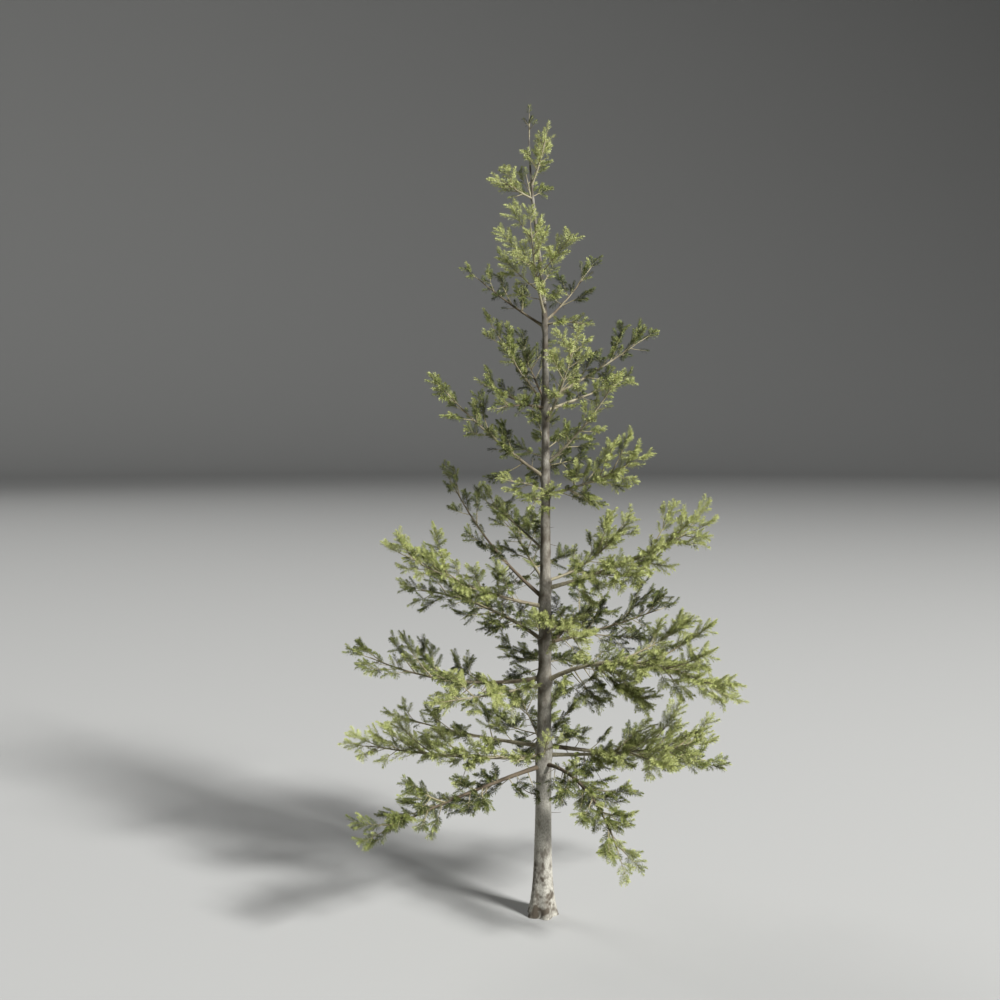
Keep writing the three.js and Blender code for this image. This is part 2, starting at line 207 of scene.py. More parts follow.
# Each bough leaves the trunk at a height and a bearing (0 is +X, 90 is +Y), climbs at its rise and has
# turned by its lift at the tip. Its fan tells how broad its side twigs spread, its leaf how closely the
# finer twigs and shoots stand on it, its hang by how many degrees the finer twigs are turned down, and
# its painted lighting by how many tints its needles are painted paler on a lit bough and darker on a
# shaded one, and its bark with them.
LIMBS = (
    Limb("first_left", 0.842, 185, 1.045, -1, 12, 1.05, 1.9, glow=1.4),
    Limb("first_left_front", 0.799, 215, 1.115, -6, -9, 1, 1.5, glow=-1.7),
    Limb("first_front_right", 0.805, 304, 0.880, 10, -80, 1, 2.6, glow=-0.8),
    Limb("first_right", 0.855, 345, 0.905, 3, 11, 1.25, 2.7, hang=-12, glow=1.2),
    Limb("first_right_back", 0.905, 20, 1.090, -12, 5, 1),
    Limb("first_back", 0.860, 92, 0.980, 0, 8, 1.1, 0.9, glow=0.3),
    Limb("first_left_back", 0.900, 150, 1.040, -2, 10, 0.8, 0.35, glow=0.8),
    Limb("first_front", 0.868, 244, 0.430, 4, 8, 1),
    Limb("first_front_shoot", 0.850, 270, 0.330, 26, 10, 1, glow=1.4),
    Limb("second_right_front", 1.240, 330, 1.120, 32, -63, 1.3, 2.5, hang=26, glow=0.6),
    Limb("second_left_front", 1.229, 215, 0.710, -4, 8, 1.15, glow=0.7),
    Limb("second_left", 1.265, 175, 1.090, -12, 38, 1.05, 1.15, glow=-0.2),
    Limb("second_back", 1.260, 88, 0.920, 6, 8, 1.1, 0.9, glow=0.5),
    Limb("third_back_right", 1.400, 62, 0.860, 20, -20, 1.1, 1.3, glow=-0.9),
    Limb("third_right", 1.445, 34, 0.870, 4, 12, 1.1, 1.3, glow=-1.3),
    Limb("third_front", 1.487, 296, 0.470, 36, -86, 1.25, 1.5, glow=0.9),
    Limb("third_left_back", 1.450, 152, 0.900, 32, -34, 1.1, 1.9),
    Limb("fourth_left", 1.635, 195, 0.930, 12, 22, 1.05, 1.3),
    Limb("fourth_left_back", 1.675, 160, 0.905, 36, 30, 0.9, 0.65, glow=-1.0),
    Limb("fourth_right", 1.729, 345, 0.960, 16, 16, 1.2, 1.5, hang=12, glow=0.8),
    Limb("fourth_back", 1.760, 105, 0.760, 18, 14, 1.1, 0.9, glow=0.5),
    Limb("fourth_back_shoot", 1.922, 140, 0.535, 36, -8, 1.1, glow=0.3),
    Limb("fifth_right", 2.219, 335, 0.600, 12, 20, 1.3, 1.5, glow=0.8),
    Limb("fifth_right_upper", 2.374, 344, 0.620, 40, 20, 1.1, 1.25, glow=0.2),
    Limb("fifth_left_front", 2.239, 228, 0.320, 20, -16, 1.1, glow=0.9),
    Limb("fifth_front", 2.205, 256, 0.380, 8, -28, 1.1, glow=-0.2),
    Limb("fifth_left", 2.307, 185, 0.800, 34, 16, 0.95, 0.8, glow=-0.4),
    Limb("fifth_back", 2.290, 88, 0.620, 26, 16, 1.15),
    Limb("sixth_right_front", 2.581, 300, 0.560, 48, 22, 1.25, 1.7, glow=1.0),
    Limb("sixth_right", 2.709, 24, 0.770, 26, 8, 0.95, 0.7, glow=-0.5),
    Limb("sixth_right_back", 2.650, 48, 0.740, 16, -4, 0.8, 0.5),
    Limb("sixth_left_upper", 2.690, 176, 0.560, 48, 18, 1.1),
    Limb("sixth_left", 2.655, 202, 0.415, 14, 18, 1.1, 1.2, glow=-1.3),
    Limb("sixth_left_front", 2.668, 232, 0.425, 8, -20, 1.1, 1.2, glow=-1.0),
    Limb("sixth_back", 2.700, 110, 0.480, 36, 16, 1.2, glow=-1.2),
    Limb("seventh_front", 3.144, 250, 0.570, 45, 38, 1.35, 1.3, glow=1.2),
    Limb("seventh_left_back", 3.083, 150, 0.600, 30, 8, 0.75, 0.3, glow=-0.8),
    Limb("seventh_right_back", 3.109, 40, 0.525, 36, 14, 0.75, 0.3, glow=-0.8),
    Limb("seventh_right_front", 3.094, 330, 0.270, 12, -30, 1),
    Limb("top_left", 3.733, 200, 0.245, 20, 18, 1.05, 3.0, glow=1.6),
    Limb("top_right", 3.799, 320, 0.320, 62, 16, 0.8, 4.0, glow=1.6),
    Limb("top_back", 3.690, 104, 0.300, 45, 16, 0.9, 0.8, glow=1.2),
    Limb("fourth_right_upper", 1.770, 8, 0.600, 12, 54, 1.25, 2.2, glow=1.4),
)
LEADER = Limb("leader", TRUNK_TOP, 0, TREE_HEIGHT - TRUNK_TOP, 90, 0, 0.4)

UP = np.array((0.0, 0.0, 1.0))
RIGHT = np.array((1.0, 0.0, 0.0))
GOLDEN_TURN = math.pi * (3 - math.sqrt(5))

# The sine of the angle from upright below which a line has no side or no lift of its own
STEEP = 0.01
STEEP_SPRIG = 0.05


def lerp(low, high, share):
    return low + (high - low) * share


def smoothstep(value, low, high):
    share = np.clip((value - low) / (high - low), 0, 1)
    return share * share * (3 - 2 * share)


def unit(vectors):
    """Vectors, or one vector, brought to length 1."""
    return vectors / np.linalg.norm(vectors, axis=-1, keepdims=True)


def turned(vector, axis, angle):
    """A vector turned about a unit axis."""
    across = np.cross(axis, vector)
    along = axis * (axis @ vector)
    return vector * math.cos(angle) + across * math.sin(angle) + along * (1 - math.cos(angle))


class SeededDraw:
    """A repeatable run of numbers, each between a low and a high bound."""

    MASK = 0xFFFFFFFF
    STEP = 0x6D2B79F5

    def __init__(self, seed):
        self.state = seed & self.MASK

    def __call__(self, bounds):
        self.state = (self.state + self.STEP) & self.MASK
        mixed = (self.state ^ (self.state >> 15)) * (self.state | 1) & self.MASK
        mixed ^= (mixed + (mixed ^ (mixed >> 7)) * (mixed | 61)) & self.MASK
        share = (mixed ^ (mixed >> 14)) / (self.MASK + 1)
        return lerp(bounds[0], bounds[1], share)


# Trunk line and bough lines

def trunk_sway(height):
    """How far the trunk's centre stands to the right of its foot."""
    share = height / TREE_HEIGHT
    return BOW * np.sin(math.pi * share) + TOP_LEAN * smoothstep(share, LEAN_START, LEAN_END)


def trunk_centre(height):
    return np.array((trunk_sway(height), 0.0, height))


def trunk_radius(height):
    return TIP_RADIUS + (BUTT_RADIUS - TIP_RADIUS) * (1 - height / TREE_HEIGHT)


def flare_radius(height, angle):
    """The swelling at the foot, which runs out into root lobes."""
    lobe = 1 + LOBE_DEPTH * np.cos(ROOT_LOBES * angle)
    return FLARE * lobe * np.exp(-height / FLARE_REACH)


def bough_axis(limb, sway):
    """The centre line of a bough, from the middle of the trunk to the tip."""
    points = [trunk_centre(limb.height)]
    for i in range(AXIS_STEPS):
        share = (i + 0.5) / AXIS_STEPS
        pitch = math.radians(limb.rise + limb.lift * share)
        heading = math.radians(limb.bearing + sway * share)
        flat = math.cos(pitch)
        ahead = np.array((flat * math.cos(heading), flat * math.sin(heading), math.sin(pitch)))
        points.append(points[-1] + ahead * limb.length / AXIS_STEPS)
    return np.array(points)


Station = namedtuple("Station", "point along side up")


def station_at(axis, share):
    """Where a centre line is at a share of its length, with the ways along, across and above it."""
    place = min(max(share, 0), 1) * AXIS_STEPS
    index = min(int(place), AXIS_STEPS - 1)
    part = place - index
    point = lerp(axis[index], axis[index + 1], part)
    entering = unit(axis[min(index + 1, AXIS_STEPS)] - axis[max(index - 1, 0)])
    leaving = unit(axis[min(index + 2, AXIS_STEPS)] - axis[index])
    along = unit(lerp(entering, leaving, part))
    side = np.cross(along, UP)
    if np.linalg.norm(side) < STEEP:
        side = RIGHT
    side = unit(side)
    return Station(point, along, side, unit(np.cross(side, along)))


class Bough:
    """One bough set out on the trunk, with the shares of its length that are bare or bear twigs."""

    def __init__(self, limb, index):
        self.limb = limb
        self.draw = SeededDraw(SEED + index)
        self.fine_draw = SeededDraw(FINE_SEED + index)
        self.axis = bough_axis(limb, self.draw(SWAY))
        self.stem_end = 1 - (END_SPRAY + END_SPRAY_PER_LENGTH * limb.length) / limb.length
        self.bare = LIMB_SHARE if limb.length > LIMB_FROM_LENGTH else 0
        self.collar = 0 if limb is LEADER else COLLAR
        self.first = max(self.bare, BARE_SHARE)
        self.reach = limb.fan * (TWIG_REACH + TWIG_REACH_PER_LENGTH * limb.length)

    def root_radius(self):
        return LIMB_RADIUS + LIMB_RADIUS_PER_LENGTH * self.limb.length

    def radius(self, share):
        root = self.root_radius()
        collar = self.collar * root * np.exp(-share * self.limb.length / COLLAR_REACH)
        return LIMB_TIP_RADIUS + (root - LIMB_TIP_RADIUS) * (1 - share) ** LIMB_SLIMMING + collar


# Twigs and shoots

class Sprig:
    """A twig or shoot: a line that sags a little and turns up to its tip, in the plane it fans in."""

    def __init__(self, point, along, above, length, sag, order, outer):
        self.point = point
        self.along = along
        self.above = above
        self.length = length
        self.width = SPRAY_WIDTH + SPRAY_WIDTH_PER_LENGTH * length
        self.sag = sag
        self.order = order
        self.outer = outer
        lift = UP - along * along[2]
        self.lift = unit(lift) if np.linalg.norm(lift) > STEEP_SPRIG else above

    def place(self, share):
        bend = self.sag * (share * share - share)
        return self.point + self.length * (self.along * share + self.lift * bend)

    def heading(self, share):
        return unit(self.along + self.lift * self.sag * (2 * share - 1))


class Crown:
    """All boughs of the tree, and the test that keeps each one's twigs in its own space."""

    def __init__(self):
        self.boughs = [Bough(limb, i) for i, limb in enumerate((*LIMBS, LEADER))]
        axes = np.array([bough.axis for bough in self.boughs])
        self.starts = axes[:, :-1]
        self.spans = axes[:, 1:] - axes[:, :-1]
        self.span_squares = (self.spans**2).sum(-1)

    def axis_distances(self, point):
        """The distance from a point to each bough's centre line."""
        shares = ((point - self.starts) * self.spans).sum(-1) / self.span_squares
        nearest = self.starts + self.spans * np.clip(shares, 0, 1)[..., None]
        return np.sqrt(((point - nearest) ** 2).sum(-1)).min(axis=1)

    def in_own_space(self, point, index):
        """True where no other bough and not the trunk is near the point."""
        if point[2] < GROUND_CLEARANCE:
            return False
        if point[2] < TRUNK_TOP:
            from_trunk = np.linalg.norm(point - trunk_centre(point[2]))
            if from_trunk < trunk_radius(point[2]) + TRUNK_CLEARANCE:
                return False
        away = self.axis_distances(point)
        limit = max(away[index] + SPACE_GAP, LIMB_CLEARANCE)
        away[index] = math.inf
        return bool((away > limit).all())


def spray_corners(length, width):
    """The corners of the toothed outline that a twig's side shoots fill, measured from its root."""
    pairs = 1 + sum(length > limit for limit in SPRAY_PAIR_LENGTHS)
    corners = [(length, 0.0)]
    for i in range(pairs):
        share = i / pairs
        joint = length * lerp(FORK_FIRST, FORK_LAST, share)
        half = width * (1 - TOOTH_TAPER * share)
        for hand in (1, -1):
            corners.append((joint + TOOTH_FORWARD * length, hand * half))
            corners.append((joint + NOTCH_FORWARD * length, hand * NOTCH_WIDTH * width))
    return corners


def fitted_length(crown, index, point, along, above, length, shortenings):
    """The twig's length after shortening it to its bough's own space, or nothing where none fits."""
    across = unit(np.cross(above, along))
    for share in shortenings:
        shorter = length * share
        width = SPRAY_WIDTH + SPRAY_WIDTH_PER_LENGTH * shorter
        corners = spray_corners(shorter, width)
        if all(crown.in_own_space(point + along * x + across * y, index) for x, y in corners):
            return shorter
    return None


def side_way(station, hand, opening, tilt):
    """The way of a twig that opens from a bough to one hand, tilted up or down."""
    outwards = station.side * hand * math.cos(tilt) + station.up * math.sin(tilt)
    return unit(station.along * math.cos(opening) + outwards * math.sin(opening))


def first_order_twigs(crown, index):
    """The twigs of the solids: to the bough's two sides in turn, some upright, and one at its end."""
    bough = crown.boughs[index]
    draw = bough.draw
    count = int(TWIGS + bough.limb.length * TWIGS_PER_LENGTH + 0.5)
    wanted = []
    for i in range(count):
        share = (i + FIRST_TWIG) / count
        place = lerp(bough.first, bough.stem_end, share)
        station = station_at(bough.axis, place)
        upright = i % UPRIGHT_EVERY == UPRIGHT_EVERY - 1
        opening = math.radians(lerp(OPEN_INNER, OPEN_OUTER, share) + draw(OPEN_SPREAD))
        tilt = math.radians(draw(UPRIGHT_TILT if upright else SIDE_TILT))
        twist = math.radians(draw(TWIST_SPREAD))
        length = bough.reach * (1 - TWIG_TAPER * share) * draw(TWIG_LENGTH_SPREAD)
        along = side_way(station, 1 if i % 2 == 0 else -1, opening, tilt)
        wanted.append((station.point, along, turned(station.up, along, twist), length, place))
    end = station_at(bough.axis, bough.stem_end)
    wanted.append((end.point, end.along, end.up, bough.limb.length * (1 - bough.stem_end), 1))
    twigs = []
    for point, along, above, length, place in wanted:
        length = fitted_length(crown, index, point, along, above, length, SHORTENINGS)
        if length:
            twigs.append(Sprig(point, along, above, length, bough.fine_draw(TWIG_SAG), TWIG, place))
    return twigs


def twigs_along(crown, index, span, rule):
    """Shorter twigs along a span of a bough, alternately to its two sides, where they fit."""
    bough = crown.boughs[index]
    draw = bough.fine_draw
    count = round(bough.limb.leaf * bough.limb.length * (span[1] - span[0]) / rule.spacing)
    twigs = []
    for i in range(count):
        place = lerp(*span, (i + draw(FINE_STAGGER)) / count)
        station = station_at(bough.axis, place)
        opening = math.radians(lerp(OPEN_INNER, OPEN_OUTER, place) + draw(rule.open))
        tilt = math.radians(draw(rule.tilt) - bough.limb.hang)
        along = side_way(station, -1 if i % 2 == 0 else 1, opening, tilt)
        above = turned(station.up, along, math.radians(draw(TWIST_SPREAD)))
        length = bough.reach * (1 - TWIG_TAPER * place) * draw(rule.share)
        sag = draw(TWIG_SAG)
        length = fitted_length(crown, index, station.point, along, above, length, FINE_SHORTENINGS)
        if length:
            twigs.append(Sprig(station.point, along, above, length, sag, TWIG, place))
    return twigs


def axis_shoots(crown, index):
    """Single short shoots along a bough."""
    bough = crown.boughs[index]
    draw = bough.fine_draw
    leafy = bough.limb.length * (bough.stem_end - bough.first)
    count = round(bough.limb.leaf * leafy / AXIS_SHOOT_SPACING)
    shoots = []
    for i in range(count):
        place = lerp(bough.first, bough.stem_end, (i + draw((0, 1))) / count)
        station = station_at(bough.axis, place)
        hand = 1 if draw((-1, 1)) > 0 else -1
        opening = math.radians(draw(AXIS_SHOOT_OPEN))
        along = side_way(station, hand, opening, math.radians(draw(AXIS_SHOOT_TILT)))
        length = draw(AXIS_SHOOT_LENGTH)
        sag = draw(SHOOT_SAG)
        if crown.in_own_space(station.point + along * length, index):
            shoots.append(Sprig(station.point, along, station.up, length, sag, SHOOT, place))
    return shoots


def twigs_of(crown, index):
    """All twigs and shoots that leave a bough."""
    bough = crown.boughs[index]
    twigs = first_order_twigs(crown, index)
    twigs += twigs_along(crown, index, (bough.first, bough.stem_end), FINE_TWIGS)
    if bough.limb.length > INNER_FROM_LENGTH:
        twigs += twigs_along(crown, index, INNER_SPAN, INNER_TWIGS)
    return twigs + axis_shoots(crown, index)


def fork(sprig, draw, kept):
    """Keeps a sprig and grows the side shoots that fork from it, down to single shoots."""
    kept.append(sprig)
    if sprig.length < FORK_FROM_LENGTH or sprig.order == SHOOT:
        return
    across = unit(np.cross(sprig.above, sprig.along))
    count = max(FEWEST_SHOOTS, round(sprig.length / FORK_SPACING))
    for i in range(count):
        step = (i + draw(SHOOT_STAGGER)) / count
        share = lerp(SHOOT_FIRST, SHOOT_LAST, step)
        opening = lerp(SHOOT_OPEN_INNER, SHOOT_OPEN_OUTER, step) + draw(SHOOT_OPEN_SPREAD)
        opening = math.radians(opening)
        roll = math.radians(draw(SHOOT_ROLL))
        hand = 1 if i % 2 == 0 else -1
        reach = sprig.width * (1 - TOOTH_TAPER * step) / math.sin(opening)
        room = sprig.length * (1 - share) + SHOOT_PAST_TIP
        length = max(min(reach, room) * draw(SHOOT_LENGTH_SPREAD), SHOOT_SHORTEST)
        sag = draw(SHOOT_SAG)
        outwards = across * hand * math.cos(roll) + sprig.above * math.sin(roll)
        along = unit(sprig.heading(share) * math.cos(opening) + outwards * math.sin(opening))
        above = turned(sprig.above, along, roll)
        order = SIDE_TWIG if sprig.order == TWIG and length > FORK_FROM_LENGTH else SHOOT
        outer = lerp(sprig.outer, 1, SHOOT_OUTWARDS * share)
        fork(Sprig(sprig.place(share), along, above, length, sag, order, outer), draw, kept)


@functools.cache
def grown_crown():
    """The boughs with all their sprigs. Each bough keeps those that leave it, for its swellings."""
    crown = Crown()
    sprigs = []
    glow = []
    for index, bough in enumerate(crown.boughs):
        bough.twigs = twigs_of(crown, index)
        for twig in bough.twigs:
            fork(twig, bough.fine_draw, sprigs)
        # Each sprig carries its bough's painted light and shade on to its needles
        glow += [bough.limb.glow] * (len(sprigs) - len(glow))
    return crown.boughs, SprigSet(sprigs, glow)


def dead_twigs(boughs):
    """Thin bare twigs: short ones low on the trunk, and longer ones that hang from the long boughs."""
    draw = SeededDraw(DEAD_SEED)
    twigs = []
    for _ in range(DEAD_ON_TRUNK):
        root = trunk_centre(draw(DEAD_HEIGHT))
        bearing = math.radians(draw((0, 360)))
        rise = math.radians(draw(DEAD_RISE))
        flat = np.array((math.cos(bearing), math.sin(bearing), 0.0))
        point = root + flat * DEAD_STUB_ROOT * trunk_radius(root[2])
        along = flat * math.cos(rise) + UP * math.sin(rise)
        twigs.append(Sprig(point, along, UP, draw(DEAD_STUB_LENGTH), draw(TWIG_SAG), TWIG, 0))
    for bough in boughs:
        for i in range(DEAD_ON_BOUGH if bough.bare else 0):
            station = station_at(bough.axis, draw(DEAD_PLACE))
            opening = math.radians(draw(DEAD_OPEN))
            along = side_way(station, 1 if i % 2 == 0 else -1, opening, math.radians(draw(DEAD_TILT)))
            length = draw(DEAD_LENGTH)
            twigs.append(Sprig(station.point, along, station.up, length, draw(TWIG_SAG), TWIG, 0))
    return SprigSet(twigs)


class SprigSet:
    """Sprigs as arrays with one row each."""

    COLUMNS = ("point", "along", "lift", "length", "sag", "order", "outer")

    def __init__(self, sprigs, glow=()):
        self.glow = np.array(glow)
        for column in self.COLUMNS:
            setattr(self, column, np.array([getattr(sprig, column) for sprig in sprigs]))

    def place(self, rows, share):
        bend = (self.sag[rows] * (share * share - share))[:, None]
        step = self.along[rows] * share[:, None] + self.lift[rows] * bend
        return self.point[rows] + step * self.length[rows][:, None]

    def heading(self, rows, share):
        bend = (self.sag[rows] * (2 * share - 1))[:, None]
        return unit(self.along[rows] + self.lift[rows] * bend)


# Noise for the bark's relief

# Lumps of noise per metre along each axis, and the seed that sets them out
Grain = namedtuple("Grain", "lumps seed")

WORD = 0xFFFFFFFF
HALF_WORD = 0xFFFF
CELL_PRIMES = (73856093, 19349663, 83492791)
SEED_PRIME = 2654435761
FIRST_MIXING_PRIME = 2246822519
SECOND_MIXING_PRIME = 3266489917
PLATE_JITTER = 0.42


def lattice_values(cells, seed):
    """A fixed value between -1 and 1 for each cell of a lattice."""
    x, y, z = (cells[..., axis] * prime for axis, prime in enumerate(CELL_PRIMES))
    mixed = ((x ^ y ^ z) + seed * SEED_PRIME) & WORD
    mixed = (mixed ^ (mixed >> 15)) * FIRST_MIXING_PRIME & WORD
    mixed = (mixed ^ (mixed >> 13)) * SECOND_MIXING_PRIME & WORD
    return ((mixed ^ (mixed >> 16)) & HALF_WORD) / (HALF_WORD / 2) - 1


def smooth_noise(points, seed):
    """Smooth noise between -1 and 1 at each point of an array."""
    cells = np.floor(points).astype(np.int64)
    part = points - cells
    part = part * part * (3 - 2 * part)
    total = np.zeros(points.shape[:-1])
    for corner in np.ndindex(2, 2, 2):
        weight = np.prod(np.where(corner, part, 1 - part), axis=-1)
        total += weight * lattice_values(cells + corner, seed)
    return total


def grain_noise(places, grain):
    """Smooth noise of a given grain at places in metres."""
    return smooth_noise(places * grain.lumps, grain.seed)


def bark_places(radius, angle, along):
    """Places on the bark of a straight limb of some radius."""
    return np.stack((radius * np.cos(angle), radius * np.sin(angle), along), axis=-1)


def plate_edges(height, angle, around, tall, seed):
    """How far each place of the trunk lies from the nearest edge between two plates of its bark."""
    place = np.stack((angle / (2 * math.pi) * around, height / tall), axis=-1)
    cell = np.floor(place).astype(np.int64)
    nearest = np.full(height.shape, np.inf)
    second = nearest.copy()
    for step in np.ndindex(3, 3):
        near = cell + step - 1
        key = np.stack((near[..., 0] % around, near[..., 1], np.zeros_like(near[..., 0])), axis=-1)
        jitter = np.stack((lattice_values(key, seed), lattice_values(key, seed + 1)), axis=-1)
        away = np.linalg.norm(place - near - 0.5 - PLATE_JITTER * jitter, axis=-1)
        second = np.minimum(second, np.maximum(nearest, away))
        nearest = np.minimum(nearest, away)
    return second - nearest


# Meshes

Wood = namedtuple("Wood", "points faces places relief stain")
MAP_NAME = "OFBake"
MAP_EDGE = 0.03


def tube_faces(rows, columns):
    """The four-cornered faces of a grid of rings, closed round each ring."""
    row, column = np.meshgrid(np.arange(rows - 1), np.arange(columns), indexing="ij")
    after = (column + 1) % columns
    first = row * columns
    corners = (first + column, first + after, first + columns + after, first + columns + column)
    return np.stack(corners, axis=-1).reshape(-1, 4)


def tip_faces(rows, columns):
    """The faces that close a tube's last ring on a tip, which comes after all its rings."""
    column = np.arange(columns)
    last = (rows - 1) * columns
    tip = np.full(columns, rows * columns)
    return np.stack((last + column, last + (column + 1) % columns, tip), axis=-1)


def tube_places(rows, columns, first, taken, strips):
    """Where the corners of a tube's faces lie on a flat map, on some of its upright strips."""
    row, column = np.meshgrid(np.arange(rows - 1), np.arange(columns), indexing="ij")
    per_strip = (rows - 1) / taken
    strip = np.floor(row / per_strip)

    def place(strip, across, up):
        left = first + strip + lerp(MAP_EDGE, 1 - MAP_EDGE, across / columns)
        return np.stack((left / strips, lerp(MAP_EDGE, 1 - MAP_EDGE, up)), axis=-1)

    steps = ((0, 0), (1, 0), (1, 1), (0, 1))
    sides = [place(strip, column + right, (row + up) / per_strip - strip) for right, up in steps]
    across = np.arange(columns)
    top = np.ones(columns)
    ends = (place(taken - 1, across, top), place(taken - 1, across + 1, top),
            place(taken - 1, across + 0.5, top * (1 + MAP_EDGE / 2)))
    return [np.stack(sides, axis=-2).reshape(-1, 2), np.stack(ends, axis=-2).reshape(-1, 2)]


def ring_ways(ahead):
    """The ways across and above a line, for each of its headings."""
    side = np.cross(ahead, UP)
    steep = np.linalg.norm(side, axis=-1) < STEEP
    side[steep] = RIGHT
    side = unit(side)
    return side, np.cross(side, ahead)


def ring_spokes(ahead, columns):
    """The ways from each place of a line to the corners of the ring round it."""
    side, above = ring_ways(ahead)
    angle = np.linspace(0, 2 * math.pi, columns, endpoint=False)
    return side[:, None] * np.cos(angle)[None, :, None] + above[:, None] * np.sin(angle)[None, :, None]


def tube_points(line, radii):
    """The corners of a tube along a line, from the radius at each ring and column, and its tip."""
    ahead = unit(np.gradient(line, axis=0))
    rings = line[:, None] + ring_spokes(ahead, radii.shape[1]) * radii[..., None]
    tip = line[-1] + ahead[-1] * radii[-1].mean()
    return np.concatenate((rings.reshape(-1, 3), tip[None]))


def mesh_piece(name, points, faces, material, smooth=True):
    """A new piece of the tree, which rides on its one body."""
    mesh = bpy.data.meshes.new(name)
    mesh.from_pydata(points.tolist(), [], faces)
    if mesh.validate():
        raise RuntimeError(f"{name} has faces that don't hold together")
    mesh.polygons.foreach_set("use_smooth", np.full(len(mesh.polygons), smooth))
    mesh.materials.append(material)
    piece = bpy.data.objects.new(name, mesh)
    bpy.context.scene.collection.objects.link(piece)
    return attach(piece, "root")


def wood_piece(name, parts, material):
    """A piece of barked wood from several parts, with its relief, its stains with painted shade, and a
    flat map.
    """
    points = np.concatenate([part.points for part in parts])
    faces = []
    first = 0
    for part in parts:
        for group in part.faces:
            faces += (group + first).tolist()
        first += len(part.points)
    piece = mesh_piece(name, points, faces, material)
    for kind in ("relief", "stain"):
        values = np.concatenate([getattr(part, kind) for part in parts])
        attribute = piece.data.attributes.new(kind, "FLOAT", "POINT")
        attribute.data.foreach_set("value", values.astype(np.float32))
    places = np.concatenate([group for part in parts for group in part.places])
    flat_map = piece.data.uv_layers.new(name=MAP_NAME)
    flat_map.uv.foreach_set("vector", places.astype(np.float32).ravel())
    return piece


# Materials

BarkNoise = namedtuple("BarkNoise", "scale stretch detail")
FINE_BARK = BarkNoise(scale=230, stretch=2.5, detail=6)
BROAD_BARK = BarkNoise(scale=24, stretch=3.0, detail=4)
FLAKE_EDGES = (0.34, 0.68)
STAIN_AND_SHADE_EDGES = (0.45, 0.95)
# Relief at which the painted shade of the hollows begins and at which it is full
CRACK_AND_SHADE_EDGES = (0.55, 0.15)
RAGGEDNESS = 0.5
ROUGHNESS_EDGES = (0.3, 0.7)
ROUGH_BARK = 0.95
WORN_BARK = 0.72
BARK_SPECULAR = 0.3
BUMP_STRENGTH = 0.5
BUMP_DEPTH = 0.001
PLAIN_SPECULAR = 0.25
TWIG_ROUGHNESS = 0.78
BUD_ROUGHNESS = 0.45
NEEDLE_ROUGHNESS = 0.52
FLOOR_ROUGHNESS = 0.9


def plain_material(name, colour, roughness):
    """A material of one colour."""
    material = bpy.data.materials.new(name)
    material.use_nodes = True
    shader = material.node_tree.nodes["Principled BSDF"]
    shader.inputs["Base Color"].default_value = (*colour, 1)
    shader.inputs["Roughness"].default_value = roughness
    shader.inputs["Specular IOR Level"].default_value = PLAIN_SPECULAR
    return material


def colour_ramp(nodes, edges, colours):
    """A ramp node from one colour to another."""
    ramp = nodes.new("ShaderNodeValToRGB")
    for element, place, colour in zip(ramp.color_ramp.elements, edges, colours):
        element.position = place
        element.color = (*colour, 1)
    return ramp


def noise_node(tree, noise):
    """Noise over the piece's own coordinates, stretched along the trunk."""
    nodes, links = tree.nodes, tree.links
    place = nodes.new("ShaderNodeTexCoord")
    mapping = nodes.new("ShaderNodeMapping")
    mapping.inputs["Scale"].default_value = (noise.scale, noise.scale, noise.scale / noise.stretch)
    links.new(place.outputs["Object"], mapping.inputs["Vector"])
    texture = nodes.new("ShaderNodeTexNoise")
    texture.inputs["Scale"].default_value = 1
    texture.inputs["Detail"].default_value = noise.detail
    links.new(mapping.outputs["Vector"], texture.inputs["Vector"])
    return texture


def mixed_colour(tree, factor, first, second):
    """The colour socket of a mix from a colour socket to one colour."""
    mix = tree.nodes.new("ShaderNodeMix")
    mix.data_type = "RGBA"
    tree.links.new(factor, mix.inputs["Factor"])
    tree.links.new(first, mix.inputs["A"])
    mix.inputs["B"].default_value = (*second, 1)
    return mix.outputs["Result"]


def ragged_share(tree, attribute_name, noise, edges):
    """The socket of a share that an attribute gives, with an edge made ragged by noise."""
    nodes, links = tree.nodes, tree.links
    attribute = nodes.new("ShaderNodeAttribute")
    attribute.attribute_name = attribute_name
    spread = nodes.new("ShaderNodeMath")
    spread.operation = "MULTIPLY_ADD"
    links.new(noise.outputs["Fac"], spread.inputs[0])
    spread.inputs[1].default_value = RAGGEDNESS
    links.new(attribute.outputs["Fac"], spread.inputs[2])
    share = nodes.new("ShaderNodeMapRange")
    share.inputs["From Min"].default_value = edges[0]
    share.inputs["From Max"].default_value = edges[1]
    links.new(spread.outputs["Value"], share.inputs["Value"])
    return share.outputs["Result"]


